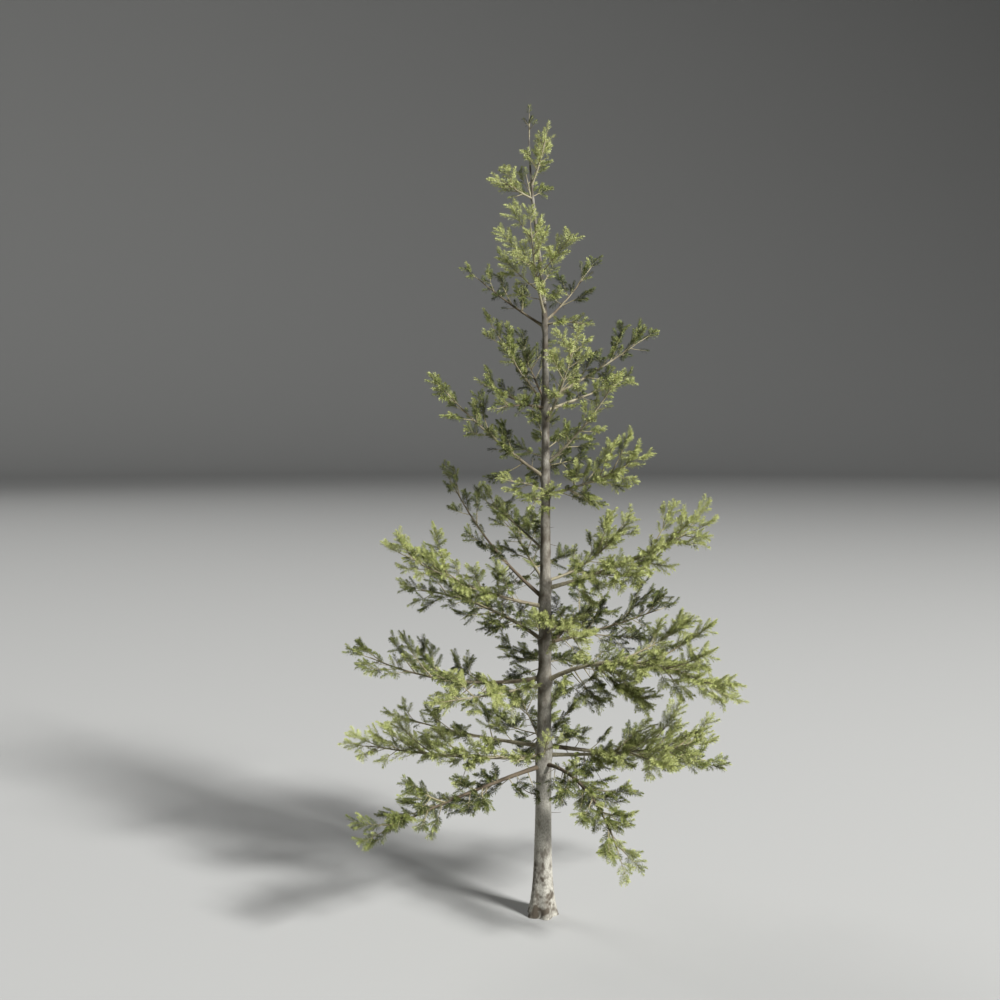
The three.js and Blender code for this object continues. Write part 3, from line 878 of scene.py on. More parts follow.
def bark_material(name, pale, grey, brown, crack_and_shade):
    """Bark: grey with paler flakes, brown where it is stained and where shade is painted, and dark in
    its hollows, with the inner bark's dark brown in the cracks and painted shade in every hollow.
    """
    material = bpy.data.materials.new(name)
    material.use_nodes = True
    tree = material.node_tree
    nodes, links = tree.nodes, tree.links
    shader = nodes["Principled BSDF"]
    fine = noise_node(tree, FINE_BARK)
    flakes = colour_ramp(nodes, FLAKE_EDGES, (grey, pale))
    links.new(fine.outputs["Fac"], flakes.inputs["Fac"])
    broad = noise_node(tree, BROAD_BARK)
    # Brown for the stains and for painted shade: the crown's shade on the trunk, and the painted light
    # and shade of each bough
    stain_and_shade_share = ragged_share(tree, "stain", broad, STAIN_AND_SHADE_EDGES)
    stained_and_shaded = mixed_colour(tree, stain_and_shade_share, flakes.outputs["Color"], brown)
    # Painted shade in the hollows: where the relief lies low the bark is painted dark, with the inner
    # bark's own dark brown in the trunk's cracks, and shade there and between the boughs' lumps
    crack_and_shade_share = ragged_share(tree, "relief", fine, CRACK_AND_SHADE_EDGES)
    colour = mixed_colour(tree, crack_and_shade_share, stained_and_shaded, crack_and_shade)
    links.new(colour, shader.inputs["Base Color"])
    rough = colour_ramp(nodes, ROUGHNESS_EDGES, ((ROUGH_BARK,) * 3, (WORN_BARK,) * 3))
    links.new(fine.outputs["Fac"], rough.inputs["Fac"])
    links.new(rough.outputs["Color"], shader.inputs["Roughness"])
    shader.inputs["Specular IOR Level"].default_value = BARK_SPECULAR
    bump = nodes.new("ShaderNodeBump")
    bump.inputs["Strength"].default_value = BUMP_STRENGTH
    bump.inputs["Distance"].default_value = BUMP_DEPTH
    links.new(fine.outputs["Fac"], bump.inputs["Height"])
    links.new(bump.outputs["Normal"], shader.inputs["Normal"])
    return material


# Sizes and colours to change

def colour_setting(name, description, default):
    """A colour to change."""
    return FloatVectorProperty(name=name, description=description, subtype="COLOR", default=default)


def length_setting(name, description, default):
    """A length to change, in metres."""
    return FloatProperty(
        name=name, description=description, default=default, unit="LENGTH", subtype="DISTANCE")


class FirTrunkSettings(bpy.types.PropertyGroup):
    columns: IntProperty(name="Columns", description="Corners round the trunk", default=84, min=12)
    rows: IntProperty(name="Rows", description="Rings along the trunk", default=561, min=60)
    crack_depth: length_setting(
        "Crack depth", "Depth of the cracks between the bark's plates at the foot", 0.0024)
    blisters: IntProperty(name="Blisters", description="Resin blisters on the smooth bark", default=620)
    pale: colour_setting("Pale flakes", "Colour of the bark's flakes", (0.415, 0.400, 0.345))
    grey: colour_setting("Grey bark", "Main colour of the bark", (0.240, 0.228, 0.194))
    # Brown of the weathered patches, which also paints the crown's shade on the trunk
    brown: colour_setting("Brown patches", "Colour of weathered patches", (0.078, 0.064, 0.047))
    # The dark brown of the cracks, with painted shade in the low places of the trunk's and the boughs'
    # bark
    crack_and_shade: colour_setting("Cracks", "Colour in the cracks", (0.040, 0.031, 0.024))


class FirBoughSettings(bpy.types.PropertyGroup):
    columns: IntProperty(name="Columns", description="Corners round a bough", default=10, min=5)
    row_spacing: length_setting("Row spacing", "Distance between a bough's rings", 0.0085)
    roughness: FloatProperty(
        name="Roughness", description="Relief of the bark as a share of the radius", default=0.10,
        subtype="FACTOR")
    pale: colour_setting("Pale flakes", "Colour of the bark's flakes", (0.335, 0.305, 0.200))
    grey: colour_setting("Grey bark", "Main colour of the bark", (0.162, 0.143, 0.098))
    # Brown of the weathered patches, which also paints the shade of shaded boughs
    brown: colour_setting("Brown patches", "Colour of weathered patches", (0.095, 0.073, 0.048))


class FirTwigSettings(bpy.types.PropertyGroup):
    root_radius: length_setting("Root radius", "Least radius of a twig where it forks off", 0.0012)
    radius_per_length: FloatProperty(
        name="Radius per length", description="Radius that a twig gains with its length", default=0.0115)
    tip_radius: length_setting("Tip radius", "Radius of a twig at its tip", 0.0007)
    old: colour_setting("Old twigs", "Colour of the twigs on the boughs", (0.27, 0.235, 0.140))
    middle: colour_setting("Side twigs", "Colour of the forking side twigs", (0.35, 0.320, 0.175))
    young: colour_setting("Young shoots", "Colour of the shoots' own stems", (0.39, 0.375, 0.180))
    dead: colour_setting("Dead twigs", "Colour of the bare dead twigs", (0.15, 0.135, 0.110))
    bud: colour_setting("Buds", "Colour of the buds at the shoots' tips", (0.20, 0.115, 0.055))


class FirNeedleSettings(bpy.types.PropertyGroup):
    length: length_setting("Length", "Length of a needle", 0.023)
    width: length_setting("Width", "Width of a needle", 0.0031)
    per_metre: FloatProperty(
        name="Needles per metre", description="Needles along a metre of young shoot", default=960)
    tint_1: colour_setting("Oldest", "Needles deep in the crown", (0.031, 0.040, 0.011))
    tint_2: colour_setting("Old", "Needles of older twigs", (0.063, 0.078, 0.020))
    tint_3: colour_setting("Middle", "Needles of the middle years", (0.136, 0.160, 0.043))
    tint_4: colour_setting("Younger", "Needles near the shoots' ends", (0.232, 0.262, 0.078))
    tint_5: colour_setting("Youngest", "Needles at the outer tips", (0.400, 0.430, 0.165))


class FirStageSettings(bpy.types.PropertyGroup):
    floor: colour_setting("Floor", "Colour of the floor", (0.36, 0.36, 0.350))
    eye: FloatVectorProperty(
        name="Eye", description="Where the camera stands", default=(-0.222, -6.245, 2.555),
        unit="LENGTH", subtype="XYZ")
    pitch: FloatProperty(
        name="Pitch", description="How far the camera looks down", default=math.radians(3.32),
        unit="ROTATION", subtype="ANGLE")
    lens: FloatProperty(name="Lens", description="Focal length on a 36 mm sensor", default=43.45)
    key: FloatProperty(name="Key light", description="Power of the main light in watts", default=40000)
    fill: FloatProperty(
        name="Fill light", description="Power of the opposite light in watts", default=5000)
    sky: FloatProperty(name="Sky", description="Strength of the light from all round", default=0.12)


# Trunk

# Relief and stain where the bark is even
EVEN_BARK = 0.5

# Relief of the trunk's bark
ROW_CROWDING = 1.35
TRUNK_STRIPS = 5
CUT_MAP_SCALE = 4
PLATES_AROUND = 15
PLATE_HEIGHT = 0.062
PLATE_SEED = 7
PLATED_TO = 0.42
PLATES_FADE = 1.6
PLATES_ABOVE = 0.04
EDGE_BEND = 0.16
EDGE_BENDS = Grain((34, 34, 17), 3)
EDGE_SHIFT = 0.012
EDGE_SHIFTS = Grain((45, 45, 45), 5)
CRACK_WIDTH = 0.10
CRACK_OPENING = (-0.35, 0.35)
CRACK_GAPS = Grain((40, 40, 13), 11)
FLAKE_DEPTH = 0.34
FLAKES = Grain((150, 150, 70), 17)
WRINKLE_DEPTH = 0.00045
WRINKLES = Grain((38, 38, 330), 19)
GRAIN_DEPTH = 0.00035
FINE_GRAIN = Grain((420, 420, 300), 23)
GRAINED_RADII = (0.003, 0.03)
RELIEF_GAIN = 0.42

# Stains on the trunk's bark, and the painted shade of the crown on it
STAIN = 0.18
FOOT_STAIN = 0.10
FOOT_STAIN_REACH = 0.40
# Painted shade: from about half a metre up, and fully from 1.3 m, the trunk's bark is painted darker
# where the crown shades it
PAINTED_CROWN_SHADE = 0.40
PAINTED_CROWN_SHADE_HEIGHTS = (0.55, 1.30)
BLOTCH_STAIN = 0.16
FOOT_BLOTCH_STAIN = 0.50
BLOTCHES = Grain((42, 42, 26), 29)
SPECK_SHARE = 0.5
SPECKS = Grain((110, 110, 80), 31)

# Blisters, knots and collars on the trunk
BLISTER_HEIGHTS = (0.12, 3.3)
BLISTER_HALF_WIDTHS = (0.0032, 0.0075)
BLISTER_FLATNESS = (0.35, 0.6)
BLISTER_DEPTHS = (0.0007, 0.0016)
BLISTER_REACH = 2.5
KNOTS = 46
KNOT_SIZES = (0.0035, 0.0075)
KNOT_HEIGHTS = (0.25, 2.9)
KNOT_DEPTH = 0.30
KNOT_DIMPLE = 1.1
SWELLING_WIDTH = 1.9
SWELLING_HEIGHT = 2.4
SWELLING_DEPTH = 0.55
WHORL_RING_DEPTH = 0.0011
WHORL_RING_HEIGHT = 0.022


def bark_relief(height, angle, depth):
    """How far plates, cracks and grain stand out: the foot is cracked, and the bark above it smooth."""
    radius = trunk_radius(height)
    around = bark_places(radius, angle, height)
    bent = angle + EDGE_BEND * grain_noise(around, EDGE_BENDS)
    shifted = height + EDGE_SHIFT * grain_noise(around, EDGE_SHIFTS)
    edge = plate_edges(shifted, bent, PLATES_AROUND, PLATE_HEIGHT, PLATE_SEED)
    opened = smoothstep(grain_noise(around, CRACK_GAPS), *CRACK_OPENING)
    cracks = np.exp(-((edge / CRACK_WIDTH) ** 2)) * opened
    plated = np.exp(-((height / PLATED_TO) ** PLATES_FADE))
    flakes = grain_noise(around, FLAKES)
    wrinkles = grain_noise(around, WRINKLES) * (1 - plated)
    grain = grain_noise(around, FINE_GRAIN)
    slim = smoothstep(radius, *GRAINED_RADII)
    plates = depth * (PLATES_ABOVE + plated) * (FLAKE_DEPTH * flakes - cracks)
    return plates + slim * (GRAIN_DEPTH * grain + WRINKLE_DEPTH * wrinkles)


def bark_stain_and_shade(height, angle):
    """The share of brown at each place of the trunk: blotches at the foot, and painted shade that
    darkens the bark in the crown.
    """
    around = bark_places(trunk_radius(height), angle, height)
    blotches = grain_noise(around, BLOTCHES) + SPECK_SHARE * grain_noise(around, SPECKS)
    foot = np.exp(-((height / FOOT_STAIN_REACH) ** 2))
    painted_crown_shade = smoothstep(height, *PAINTED_CROWN_SHADE_HEIGHTS)
    even = STAIN + FOOT_STAIN * foot + PAINTED_CROWN_SHADE * painted_crown_shade
    return np.clip(even + (BLOTCH_STAIN + FOOT_BLOTCH_STAIN * foot) * blotches, 0, 1)


def turn_from(angle, bearing):
    """The angle from a bearing, the short way round."""
    return (angle - bearing + math.pi) % (2 * math.pi) - math.pi


def resin_blisters(height, angle, count):
    """Low oval blisters that lie across the smooth bark."""
    rng = np.random.default_rng(SEED)
    relief = np.zeros_like(height)
    rows = height[:, 0]
    for _ in range(count):
        centre = rng.uniform(*BLISTER_HEIGHTS)
        bearing = rng.uniform(0, 2 * math.pi)
        half_width = rng.uniform(*BLISTER_HALF_WIDTHS)
        half_height = half_width * rng.uniform(*BLISTER_FLATNESS)
        depth = rng.uniform(*BLISTER_DEPTHS)
        near = np.abs(rows - centre) < BLISTER_REACH * half_height
        across = turn_from(angle[near], bearing) * trunk_radius(height[near]) / half_width
        along = (height[near] - centre) / half_height
        relief[near] += depth * np.exp(-(across**2 + along**2))
    return relief


def bough_collars(height, angle, boughs):
    """Swellings of the trunk where the boughs leave it, and the ring of each year's whorl."""
    relief = np.zeros_like(height)
    for bough in boughs:
        if bough.limb is LEADER:
            continue
        radius = bough.root_radius()
        away = turn_from(angle, math.radians(bough.limb.bearing))
        across = away * trunk_radius(height) / (SWELLING_WIDTH * radius)
        above = height - bough.limb.height
        along = above / (SWELLING_HEIGHT * radius)
        relief += SWELLING_DEPTH * radius * np.exp(-(across**2 + along**2))
        relief += WHORL_RING_DEPTH * np.exp(-((above / WHORL_RING_HEIGHT) ** 2))
    return relief


def old_knots(height, angle):
    """Healed knots where twigs were shed: a low ring round a dimple."""
    rng = np.random.default_rng(SEED + 1)
    relief = np.zeros_like(height)
    for _ in range(KNOTS):
        size = rng.uniform(*KNOT_SIZES)
        across = turn_from(angle, rng.uniform(0, 2 * math.pi)) * trunk_radius(height) / size
        along = (height - rng.uniform(*KNOT_HEIGHTS)) / size
        apart = across**2 + along**2
        relief += KNOT_DEPTH * size * (np.exp(-apart / 2) - KNOT_DIMPLE * np.exp(-apart * 2))
    return relief


class FIR_OT_make_trunk(bpy.types.Operator):
    """Make the trunk with its root lobes, cracked foot, resin blisters and dead stub"""

    bl_idname = "fir.make_trunk"
    bl_label = "Make Trunk"

    def execute(self, context):
        settings = context.scene.fir_trunk
        boughs, _ = grown_crown()
        rows = np.linspace(0, 1, settings.rows) ** ROW_CROWDING * TRUNK_TOP
        columns = np.linspace(0, 2 * math.pi, settings.columns, endpoint=False)
        height, angle = np.meshgrid(rows, columns, indexing="ij")
        bark = bark_relief(height, angle, settings.crack_depth)
        swelling = resin_blisters(height, angle, settings.blisters) + old_knots(height, angle)
        swelling += bough_collars(height, angle, boughs)
        radius = trunk_radius(height) + flare_radius(height, angle) + bark + swelling
        x = trunk_sway(height) + radius * np.cos(angle)
        y = radius * np.sin(angle)
        rings = np.stack((x, y, height), axis=-1).reshape(-1, 3)
        tip = trunk_centre(TRUNK_TOP) + UP * TIP_RADIUS
        points = np.concatenate((rings, tip[None], trunk_centre(0)[None]))
        column = np.arange(settings.columns)
        after = (column + 1) % settings.columns
        cut = np.stack((np.full_like(column, len(points) - 1), after, column), axis=-1)
        faces = [tube_faces(*height.shape), tip_faces(*height.shape), cut]
        places = tube_places(*height.shape, 0, TRUNK_STRIPS, TRUNK_STRIPS)
        places.append(MAP_EDGE / 2 * (0.5 + CUT_MAP_SCALE * points[cut][..., :2].reshape(-1, 2)))
        relief = np.clip(EVEN_BARK + RELIEF_GAIN * bark.ravel() / settings.crack_depth, 0, 1)
        stain = bark_stain_and_shade(height, angle).ravel()
        ends = np.full(2, EVEN_BARK)
        trunk = Wood(points, faces, places, np.append(relief, ends), np.append(stain, ends))
        colours = (settings.pale, settings.grey, settings.brown, settings.crack_and_shade)
        material = bark_material("trunk_bark", *colours)
        piece = wood_piece("trunk_bark", (trunk, self.stub()), material)
        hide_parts("trunk")
        return {"FINISHED"}

    def stub(self):
        """The dead stub, crooked and broken off."""
        rise = math.radians(SNAG_RISE)
        bearing = math.radians(SNAG_BEARING)
        flat = math.cos(rise)
        along = np.array((flat * math.cos(bearing), flat * math.sin(bearing), math.sin(rise)))
        share = np.linspace(0, 1, SNAG_RINGS)
        line = trunk_centre(SNAG_HEIGHT) + along * SNAG_LENGTH * share[:, None]
        line[:, 2] += SNAG_CROOK * np.sin(share * SNAG_CROOK_TURN)
        row, column = np.meshgrid(share * SNAG_LUMPS, np.arange(SNAG_COLUMNS), indexing="ij")
        bark = smooth_noise(np.stack((row, column, np.zeros_like(row)), axis=-1), SNAG_LUMP_SEED)
        radii = lerp(SNAG_RADIUS, SNAG_TIP_RADIUS, share)[:, None] * (1 + SNAG_ROUGHNESS * bark)
        points = tube_points(line, radii)
        faces = [tube_faces(*radii.shape), tip_faces(*radii.shape)]
        places = tube_places(*radii.shape, TRUNK_STRIPS - 1, 1, TRUNK_STRIPS)
        relief = np.full(len(points), EVEN_BARK)
        return Wood(points, faces, places, relief, np.full(len(points), SNAG_STAIN))


# Boughs

LINE_ROUNDINGS = 6
FEWEST_RINGS = 12
BOUGH_ROOT = 0.5
PAST_STEM_END = 0.03
KNUCKLE = 0.16
KNUCKLE_PER_LENGTH = 4
KNUCKLE_REACH = 0.012
BOUGH_GRAIN_RADIUS = 0.01
BOUGH_LUMPS = Grain((160, 160, 60), 31)
BOUGH_WRINKLE_SHARE = 0.6
BOUGH_WRINKLES = Grain((330, 330, 170), 37)
BOUGH_RELIEF_GAIN = 0.33
BOUGH_STAIN = 0.10
BOUGH_AGE_STAIN = 0.5
BOUGH_BLOTCH_STAIN = 0.4
BOUGH_BLOTCHES = Grain((90, 90, 34), 41)
# How much paler a bough's bark is painted for each step of its painted light
BOUGH_PAINTED_LIGHTING = 0.45


def smooth_line(axis, shares):
    """Points of a centre line, with its corners rounded."""
    line = np.array([station_at(axis, share).point for share in shares])
    for _ in range(LINE_ROUNDINGS):
        line[1:-1] = 0.25 * line[:-2] + 0.5 * line[1:-1] + 0.25 * line[2:]
    return line


def bough_wood(bough, strip, strips, settings):
    """A bough's wood: a tapering limb, swollen where twigs leave it, with wrinkled bark."""
    rows = max(FEWEST_RINGS, round(bough.limb.length * bough.stem_end / settings.row_spacing))
    start = BOUGH_ROOT * trunk_radius(bough.limb.height) / bough.limb.length
    shares = np.linspace(start, bough.stem_end + PAST_STEM_END, rows)
    line = smooth_line(bough.axis, shares)
    radius = bough.radius(shares)
    for twig in bough.twigs:
        away = (shares - twig.outer) * bough.limb.length
        knuckle = KNUCKLE * LIMB_RADIUS * (1 + KNUCKLE_PER_LENGTH * twig.length)
        radius = radius + knuckle * np.exp(-((away / KNUCKLE_REACH) ** 2))
    columns = np.linspace(0, 2 * math.pi, settings.columns, endpoint=False)
    along, angle = np.meshgrid(shares * bough.limb.length, columns, indexing="ij")
    around = bark_places(BOUGH_GRAIN_RADIUS, angle, along)
    bark = grain_noise(around, BOUGH_LUMPS) + BOUGH_WRINKLE_SHARE * grain_noise(around, BOUGH_WRINKLES)
    radii = radius[:, None] * (1 + settings.roughness * bark)
    relief = np.append(np.clip(EVEN_BARK + BOUGH_RELIEF_GAIN * bark.ravel(), 0, 1), EVEN_BARK)
    age = (1 - shares)[:, None] * (1 - bough.limb.height / TREE_HEIGHT)
    blotches = grain_noise(around, BOUGH_BLOTCHES)
    stain = BOUGH_STAIN + BOUGH_AGE_STAIN * age + BOUGH_BLOTCH_STAIN * blotches
    # Painted light and shade: a lit bough's bark is painted paler, a shaded bough's darker
    stain = np.clip(stain - BOUGH_PAINTED_LIGHTING * bough.limb.glow, 0, 1)
    stain = np.append(stain.ravel(), EVEN_BARK)
    faces = [tube_faces(*radii.shape), tip_faces(*radii.shape)]
    places = tube_places(*radii.shape, strip, 1, strips)
    return Wood(tube_points(line, radii), faces, places, relief, stain)


class FIR_OT_make_boughs(bpy.types.Operator):
    """Make the wood of all boughs, from the trunk to their tips"""

    bl_idname = "fir.make_boughs"
    bl_label = "Make Boughs"

    def execute(self, context):
        settings = context.scene.fir_boughs
        boughs, _ = grown_crown()
        limbs = [bough_wood(bough, i, len(boughs), settings) for i, bough in enumerate(boughs)]
        crack_and_shade = context.scene.fir_trunk.crack_and_shade
        material = bark_material("bough_bark", settings.pale, settings.grey, settings.brown, crack_and_shade)
        piece = wood_piece("bough_bark", limbs, material)
        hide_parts(*BOUGH_NODES)
        return {"FINISHED"}


# Twigs and buds

TWIG_SLIMMING = 0.8
BUDS_FROM = 0.35
BUD_HALF_WIDTH = 0.0017
BUD_WAIST = 0.0012
BUD_LENGTH = 0.0052
BUD_FACES = np.array([(0, 1, 4), (1, 2, 4), (2, 3, 4), (3, 0, 4)])
Stems = namedtuple("Stems", "name sprigs order rows columns colour")


def stem_tubes(sprigs, chosen, rows, columns, settings):
    """Tubes along the chosen sprigs, as one set of points and faces."""
    count = len(chosen)
    share = np.tile(np.linspace(0, 1, rows), count)
    row = np.repeat(chosen, rows)
    line = sprigs.place(row, share)
    ahead = sprigs.heading(row, share)
    root = settings.root_radius + settings.radius_per_length * sprigs.length[row]
    radius = lerp(root, settings.tip_radius, share**TWIG_SLIMMING)
    rings = line[:, None] + ring_spokes(ahead, columns) * radius[:, None, None]
    rings = rings.reshape(count, rows * columns, 3)
    last = np.arange(count) * rows + rows - 1
    tips = line[last] + ahead[last] * 2 * settings.tip_radius
    points = np.concatenate((rings, tips[:, None]), axis=1)
    first = np.arange(count)[:, None, None] * points.shape[1]
    sides = (tube_faces(rows, columns)[None] + first).reshape(-1, 4)
    ends = (tip_faces(rows, columns)[None] + first).reshape(-1, 3)
    return points.reshape(-1, 3), sides.tolist() + ends.tolist()


class FIR_OT_make_twigs(bpy.types.Operator):
    """Make the twigs and the stems of the shoots, each order apart"""

    bl_idname = "fir.make_twigs"
    bl_label = "Make Twigs"

    def execute(self, context):
        settings = context.scene.fir_twigs
        boughs, sprigs = grown_crown()
        dead = dead_twigs(boughs)
        kinds = (
            Stems("twigs_old", sprigs, TWIG, rows=9, columns=5, colour=settings.old),
            Stems("twigs_middle", sprigs, SIDE_TWIG, rows=7, columns=5, colour=settings.middle),
            Stems("shoot_stems", sprigs, SHOOT, rows=3, columns=3, colour=settings.young),
            Stems("twigs_dead", dead, TWIG, rows=12, columns=5, colour=settings.dead),
        )
        for kind in kinds:
            chosen = np.flatnonzero(kind.sprigs.order == kind.order)
            points, faces = stem_tubes(kind.sprigs, chosen, kind.rows, kind.columns, settings)
            material = plain_material(kind.name, kind.colour, TWIG_ROUGHNESS)
            piece = mesh_piece(kind.name, points, faces, material)
        return {"FINISHED"}


class FIR_OT_make_buds(bpy.types.Operator):
    """Make the small pointed buds at the tips of the shoots"""

    bl_idname = "fir.make_buds"
    bl_label = "Make Buds"

    def execute(self, context):
        _, sprigs = grown_crown()
        row = np.flatnonzero(sprigs.outer > BUDS_FROM)
        ends = np.ones(len(row))
        tip = sprigs.place(row, ends)
        ahead = sprigs.heading(row, ends)
        side, above = (way * BUD_HALF_WIDTH for way in ring_ways(ahead))
        waist = tip + ahead * BUD_WAIST
        corners = (waist + side, waist + above, waist - side, waist - above, tip + ahead * BUD_LENGTH)
        points = np.stack(corners, axis=1)
        faces = BUD_FACES[None] + (np.arange(len(row)) * len(corners))[:, None, None]
        material = plain_material("buds", context.scene.fir_twigs.bud, BUD_ROUGHNESS)
        piece = mesh_piece("buds", points.reshape(-1, 3), faces.reshape(-1, 3).tolist(), material)
        return {"FINISHED"}


# Needles

MOST_NEEDLES = 98_000
FEWEST_NEEDLES = 6

# Where along a sprig its needles begin, and how closely they stand, each by the sprig's order
LEAFY_FROM = np.array((0, 0.50, 0.32, 0.06))
LEAFY_SHARE = np.array((0, 0.65, 0.85, 1.0))

# How the needles stand round a sprig
NEEDLE_STAGGER = (0.1, 0.9)
RISE = 0.26
RISE_SWING = 0.62
LEAN_ROOT = 66
LEAN_TIP = 26
LEAN_CURVE = 2.2
LEAN_SPREAD = 7
UPWARD_PULL = 0.10
ROLL_SPREAD = 0.5

# The shape of a needle, in shares of its length or width
SIDE_LENGTH = 0.90
SHORTER_ABOVE = 0.16
SHORTER_AT_TIP = 0.30
TIP_CURVE = 6
SHORTER_AT_ROOT = 0.25
ROOT_CURVE = 8
NEEDLE_LENGTH_SPREAD = (0.82, 1.12)
WIDEST = 0.68
FOLD_DEPTH = 0.35

# What makes a needle paler, in steps from one tint to the next: its youth, and painted light on the
# crown's lit side with painted shade on its far side
TINTS = 5
PALER_OUTWARDS = 2.9
PALER_SHOOT = 0.5
PAINTED_SUNLIGHT_STEPS = 0.8
PALER_TIP = 0.9
PALE_TIP_FROM = 0.62
TINT_SPREAD = 0.75
# Painted light: the bearing of the crown's lit side, and how far out from the trunk the painted light
# and shade grow full at each height
PAINTED_SUN_BEARING = math.radians(272)
CROWN_REACH = 0.385
CROWN_TOP = 1.05


def needle_blades(sprigs, settings):
    """The four corners of each needle, folded along its rib, and the tint that it gets from its age and
    from painted light and shade.
    """
    rng = np.random.default_rng(SEED)
    leafy_from = LEAFY_FROM[sprigs.order]
    counts = sprigs.length * (1 - leafy_from) * LEAFY_SHARE[sprigs.order] * settings.per_metre
    counts = np.maximum(FEWEST_NEEDLES, np.round(counts)).astype(int)
    row = np.repeat(np.arange(len(counts)), counts)
    number = np.arange(len(row)) - np.repeat(np.cumsum(counts) - counts, counts)
    spread = rng.uniform(*NEEDLE_STAGGER, len(row))
    place = (number + spread) / counts[row]
    share = lerp(leafy_from[row], 1, place)
    root = sprigs.place(row, share)
    ahead = sprigs.heading(row, share)
    side, above = ring_ways(ahead)
    turn = number * GOLDEN_TURN + rng.uniform(0, 2 * math.pi, len(counts))[row]
    rise = RISE_SWING * np.sin(turn) + RISE
    outwards = unit(side * np.cos(turn)[:, None] + above * rise[:, None])
    lean = lerp(LEAN_ROOT, LEAN_TIP, place**LEAN_CURVE) + rng.normal(0, LEAN_SPREAD, len(row))
    lean = np.radians(lean)[:, None]
    way = unit(ahead * np.cos(lean) + outwards * np.sin(lean) + UP * UPWARD_PULL)
    end_taper = 1 - SHORTER_AT_TIP * place**TIP_CURVE - SHORTER_AT_ROOT * (1 - place) ** ROOT_CURVE
    size = settings.length * end_taper * (SIDE_LENGTH - SHORTER_ABOVE * np.sin(turn))
    size = (size * rng.uniform(*NEEDLE_LENGTH_SPREAD, len(row)))[:, None]
    normal = unit(outwards - way * (outwards * way).sum(-1, keepdims=True))
    flat = np.cross(way, normal)
    roll = rng.normal(0, ROLL_SPREAD, len(row))[:, None]
    half = (flat * np.cos(roll) + normal * np.sin(roll)) * settings.width / 2
    fold = (normal * np.cos(roll) - flat * np.sin(roll)) * FOLD_DEPTH * settings.width
    middle = root + way * size * WIDEST - fold
    corners = np.stack((root, middle + half, root + way * size, middle - half), axis=1)
    # Painted light and shade: needles on the crown's lit side are painted paler and those on its far
    # side darker, and each bough's painted lighting shifts its own
    painted_sun = np.array((math.cos(PAINTED_SUN_BEARING), math.sin(PAINTED_SUN_BEARING), 0.0))
    crown_reach = CROWN_REACH * (CROWN_TOP - sprigs.point[:, 2] / TREE_HEIGHT)
    painted_sunlight = np.clip(sprigs.point @ painted_sun / crown_reach, -1, 1)
    pale = sprigs.outer * PALER_OUTWARDS + (sprigs.order == SHOOT) * PALER_SHOOT
    pale = pale + PAINTED_SUNLIGHT_STEPS * painted_sunlight + sprigs.glow
    pale += rng.normal(0, TINT_SPREAD, len(counts))
    steps = np.round(pale[row] + PALER_TIP * (place > PALE_TIP_FROM))
    return corners, np.clip(steps, 0, TINTS - 1).astype(int)


class FIR_OT_make_needles(bpy.types.Operator):
    """Make the needles of all shoots, joined by tint"""

    bl_idname = "fir.make_needles"
    bl_label = "Make Needles"

    def execute(self, context):
        settings = context.scene.fir_needles
        _, sprigs = grown_crown()
        corners, tint = needle_blades(sprigs, settings)
        for i in range(TINTS):
            name = f"needles_tint_{i + 1}"
            colour = getattr(settings, f"tint_{i + 1}")
            material = plain_material(name, colour, NEEDLE_ROUGHNESS)
            chosen = np.flatnonzero(tint == i)
            parts = math.ceil(len(chosen) / MOST_NEEDLES)
            for part, blades in enumerate(np.array_split(chosen, parts)):
                points = corners[blades].reshape(-1, 3)
                first = np.arange(len(blades))[:, None] * 4
                faces = np.concatenate((first + (0, 1, 2), first + (0, 2, 3))).tolist()
                piece = mesh_piece(f"{name}_{part + 1}", points, faces, material, smooth=False)
                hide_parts(*NEEDLE_NODES)
        return {"FINISHED"}


# Stage

FLOOR_RADIUS = 65.0
FLOOR_MIDDLE = 0.02
FLOOR_COLUMNS = 96
FLOOR_BEND = 25.0
BEND_ROWS = 18
WALL_TOP = 75.0
KEY_PLACE = (39.0, -34.0, 37.0)
KEY_SIZE = 11.5
FILL_PLACE = (-35.0, 30.0, 35.0)
FILL_SIZE = 22.0
LIGHT_SPREAD = math.radians(120)
SKY_COLOUR = (0.92, 0.95, 1.0)
SENSOR_WIDTH = 36


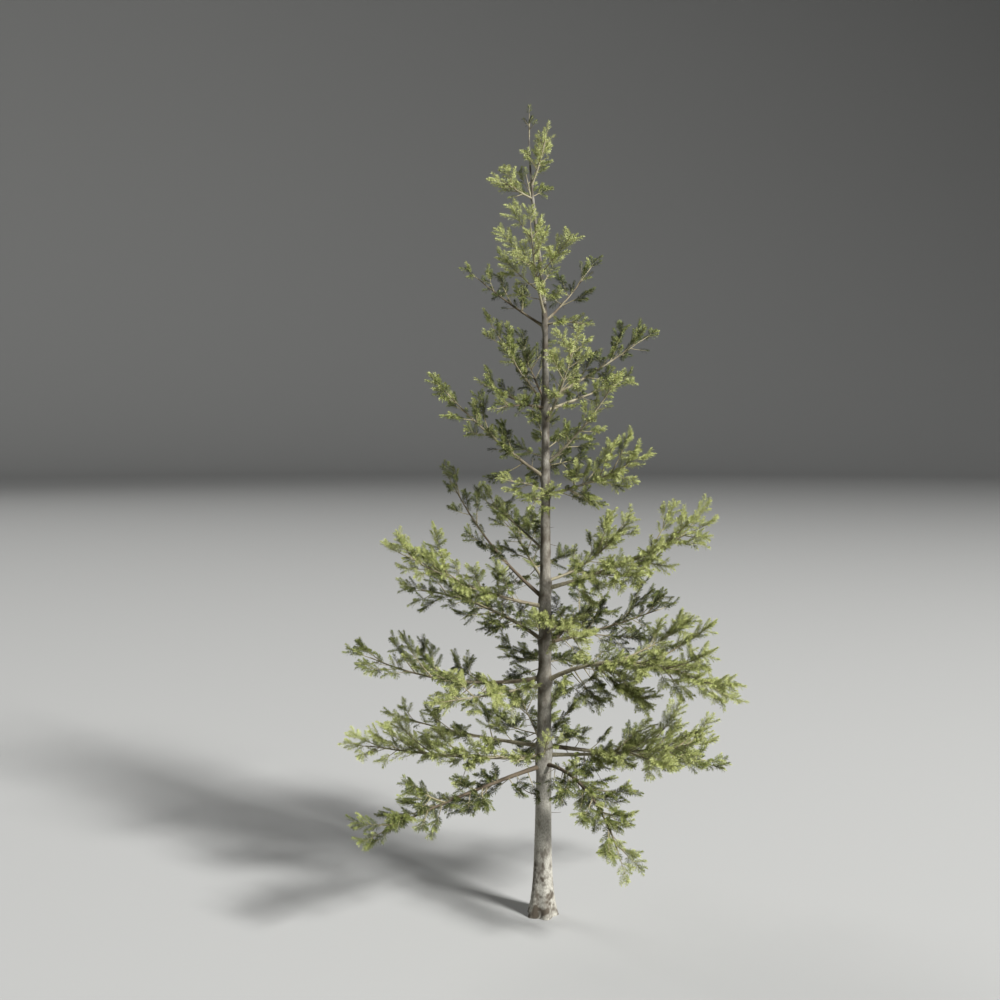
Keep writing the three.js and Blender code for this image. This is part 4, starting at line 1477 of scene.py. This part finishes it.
class FIR_OT_set_stage(bpy.types.Operator):
    """Set the floor, the soft lights and the camera"""

    bl_idname = "fir.set_stage"
    bl_label = "Set Stage"

    def execute(self, context):
        settings = context.scene.fir_stage
        self.floor(settings)
        context.scene.view_settings.view_transform = "Standard"
        self.area_light("key", KEY_PLACE, KEY_SIZE, settings.key)
        self.area_light("fill", FILL_PLACE, FILL_SIZE, settings.fill)
        world = bpy.data.worlds.new("sky")
        world.use_nodes = True
        background = world.node_tree.nodes["Background"]
        background.inputs["Color"].default_value = (*SKY_COLOUR, 1)
        background.inputs["Strength"].default_value = settings.sky
        context.scene.world = world
        camera = bpy.data.cameras.new("camera")
        camera.lens = settings.lens
        camera.sensor_width = SENSOR_WIDTH
        view = bpy.data.objects.new("camera", camera)
        view.location = settings.eye
        view.rotation_euler = (math.pi / 2 - settings.pitch, 0, 0)
        context.scene.collection.objects.link(view)
        context.scene.camera = view
        return {"FINISHED"}

    def floor(self, settings):
        """A wide floor that rises all round into a wall, so that no edge shows."""
        turn = np.linspace(0, math.pi / 2, BEND_ROWS)
        bend = FLOOR_RADIUS + FLOOR_BEND * np.sin(turn)
        radius = np.concatenate(((FLOOR_MIDDLE,), bend, (FLOOR_RADIUS + FLOOR_BEND,)))
        height = np.concatenate(((0,), FLOOR_BEND * (1 - np.cos(turn)), (WALL_TOP,)))
        angle = np.linspace(0, 2 * math.pi, FLOOR_COLUMNS, endpoint=False)
        x = radius[:, None] * np.cos(angle)
        y = radius[:, None] * np.sin(angle)
        z = np.repeat(height[:, None], FLOOR_COLUMNS, axis=1)
        points = np.stack((x, y, z), axis=-1).reshape(-1, 3)
        mesh = bpy.data.meshes.new("floor")
        middle = list(range(FLOOR_COLUMNS))
        mesh.from_pydata(points.tolist(), [], tube_faces(*x.shape).tolist() + [middle])
        mesh.polygons.foreach_set("use_smooth", np.full(len(mesh.polygons), True))
        mesh.materials.append(plain_material("floor", settings.floor, FLOOR_ROUGHNESS))
        floor = bpy.data.objects.new("floor", mesh)
        bpy.context.scene.collection.objects.link(floor)

    def area_light(self, name, place, size, power):
        """A soft light that faces the middle of the tree."""
        light = bpy.data.lights.new(name, "AREA")
        light.size = size
        light.spread = LIGHT_SPREAD
        light.energy = power
        lamp = bpy.data.objects.new(name, light)
        lamp.visible_camera = False
        lamp.location = place
        middle = (CAD_BOX[0] + CAD_BOX[1]) / 2
        lamp.rotation_euler = (middle - lamp.location).to_track_quat("-Z", "Y").to_euler()
        bpy.context.scene.collection.objects.link(lamp)


class FIR_PT_sidebar(bpy.types.Panel):
    """The fir's pieces and their sizes"""

    bl_idname = "FIR_PT_sidebar"
    bl_label = "Subalpine Fir"
    bl_space_type = "VIEW_3D"
    bl_region_type = "UI"
    bl_category = "Fir"

    def draw(self, context):
        for operator, settings in PIECES:
            box = self.layout.box()
            box.operator(operator.bl_idname)
            if settings is None:
                continue
            group = getattr(context.scene, settings)
            for name in group.__annotations__:
                box.prop(group, name)


PIECES = (
    (FIR_OT_set_stage, "fir_stage"),
    (FIR_OT_make_trunk, "fir_trunk"),
    (FIR_OT_make_boughs, "fir_boughs"),
    (FIR_OT_make_twigs, "fir_twigs"),
    (FIR_OT_make_buds, None),
    (FIR_OT_make_needles, "fir_needles"),
)
SETTINGS = {
    "fir_stage": FirStageSettings,
    "fir_trunk": FirTrunkSettings,
    "fir_boughs": FirBoughSettings,
    "fir_twigs": FirTwigSettings,
    "fir_needles": FirNeedleSettings,
}
CLASSES = (*SETTINGS.values(), *(operator for operator, _ in PIECES), FIR_PT_sidebar)


def register():
    for each in CLASSES:
        bpy.utils.register_class(each)
    for name, settings in SETTINGS.items():
        setattr(bpy.types.Scene, name, PointerProperty(type=settings))


def unregister():
    for name in SETTINGS:
        delattr(bpy.types.Scene, name)
    for each in reversed(CLASSES):
        bpy.utils.unregister_class(each)


def main():
    register()
    bpy.ops.fir.set_stage()
    bpy.ops.fir.make_trunk()
    bpy.ops.fir.make_boughs()
    bpy.ops.fir.make_twigs()
    bpy.ops.fir.make_buds()
    bpy.ops.fir.make_needles()


if __name__ == "__main__":
    main()
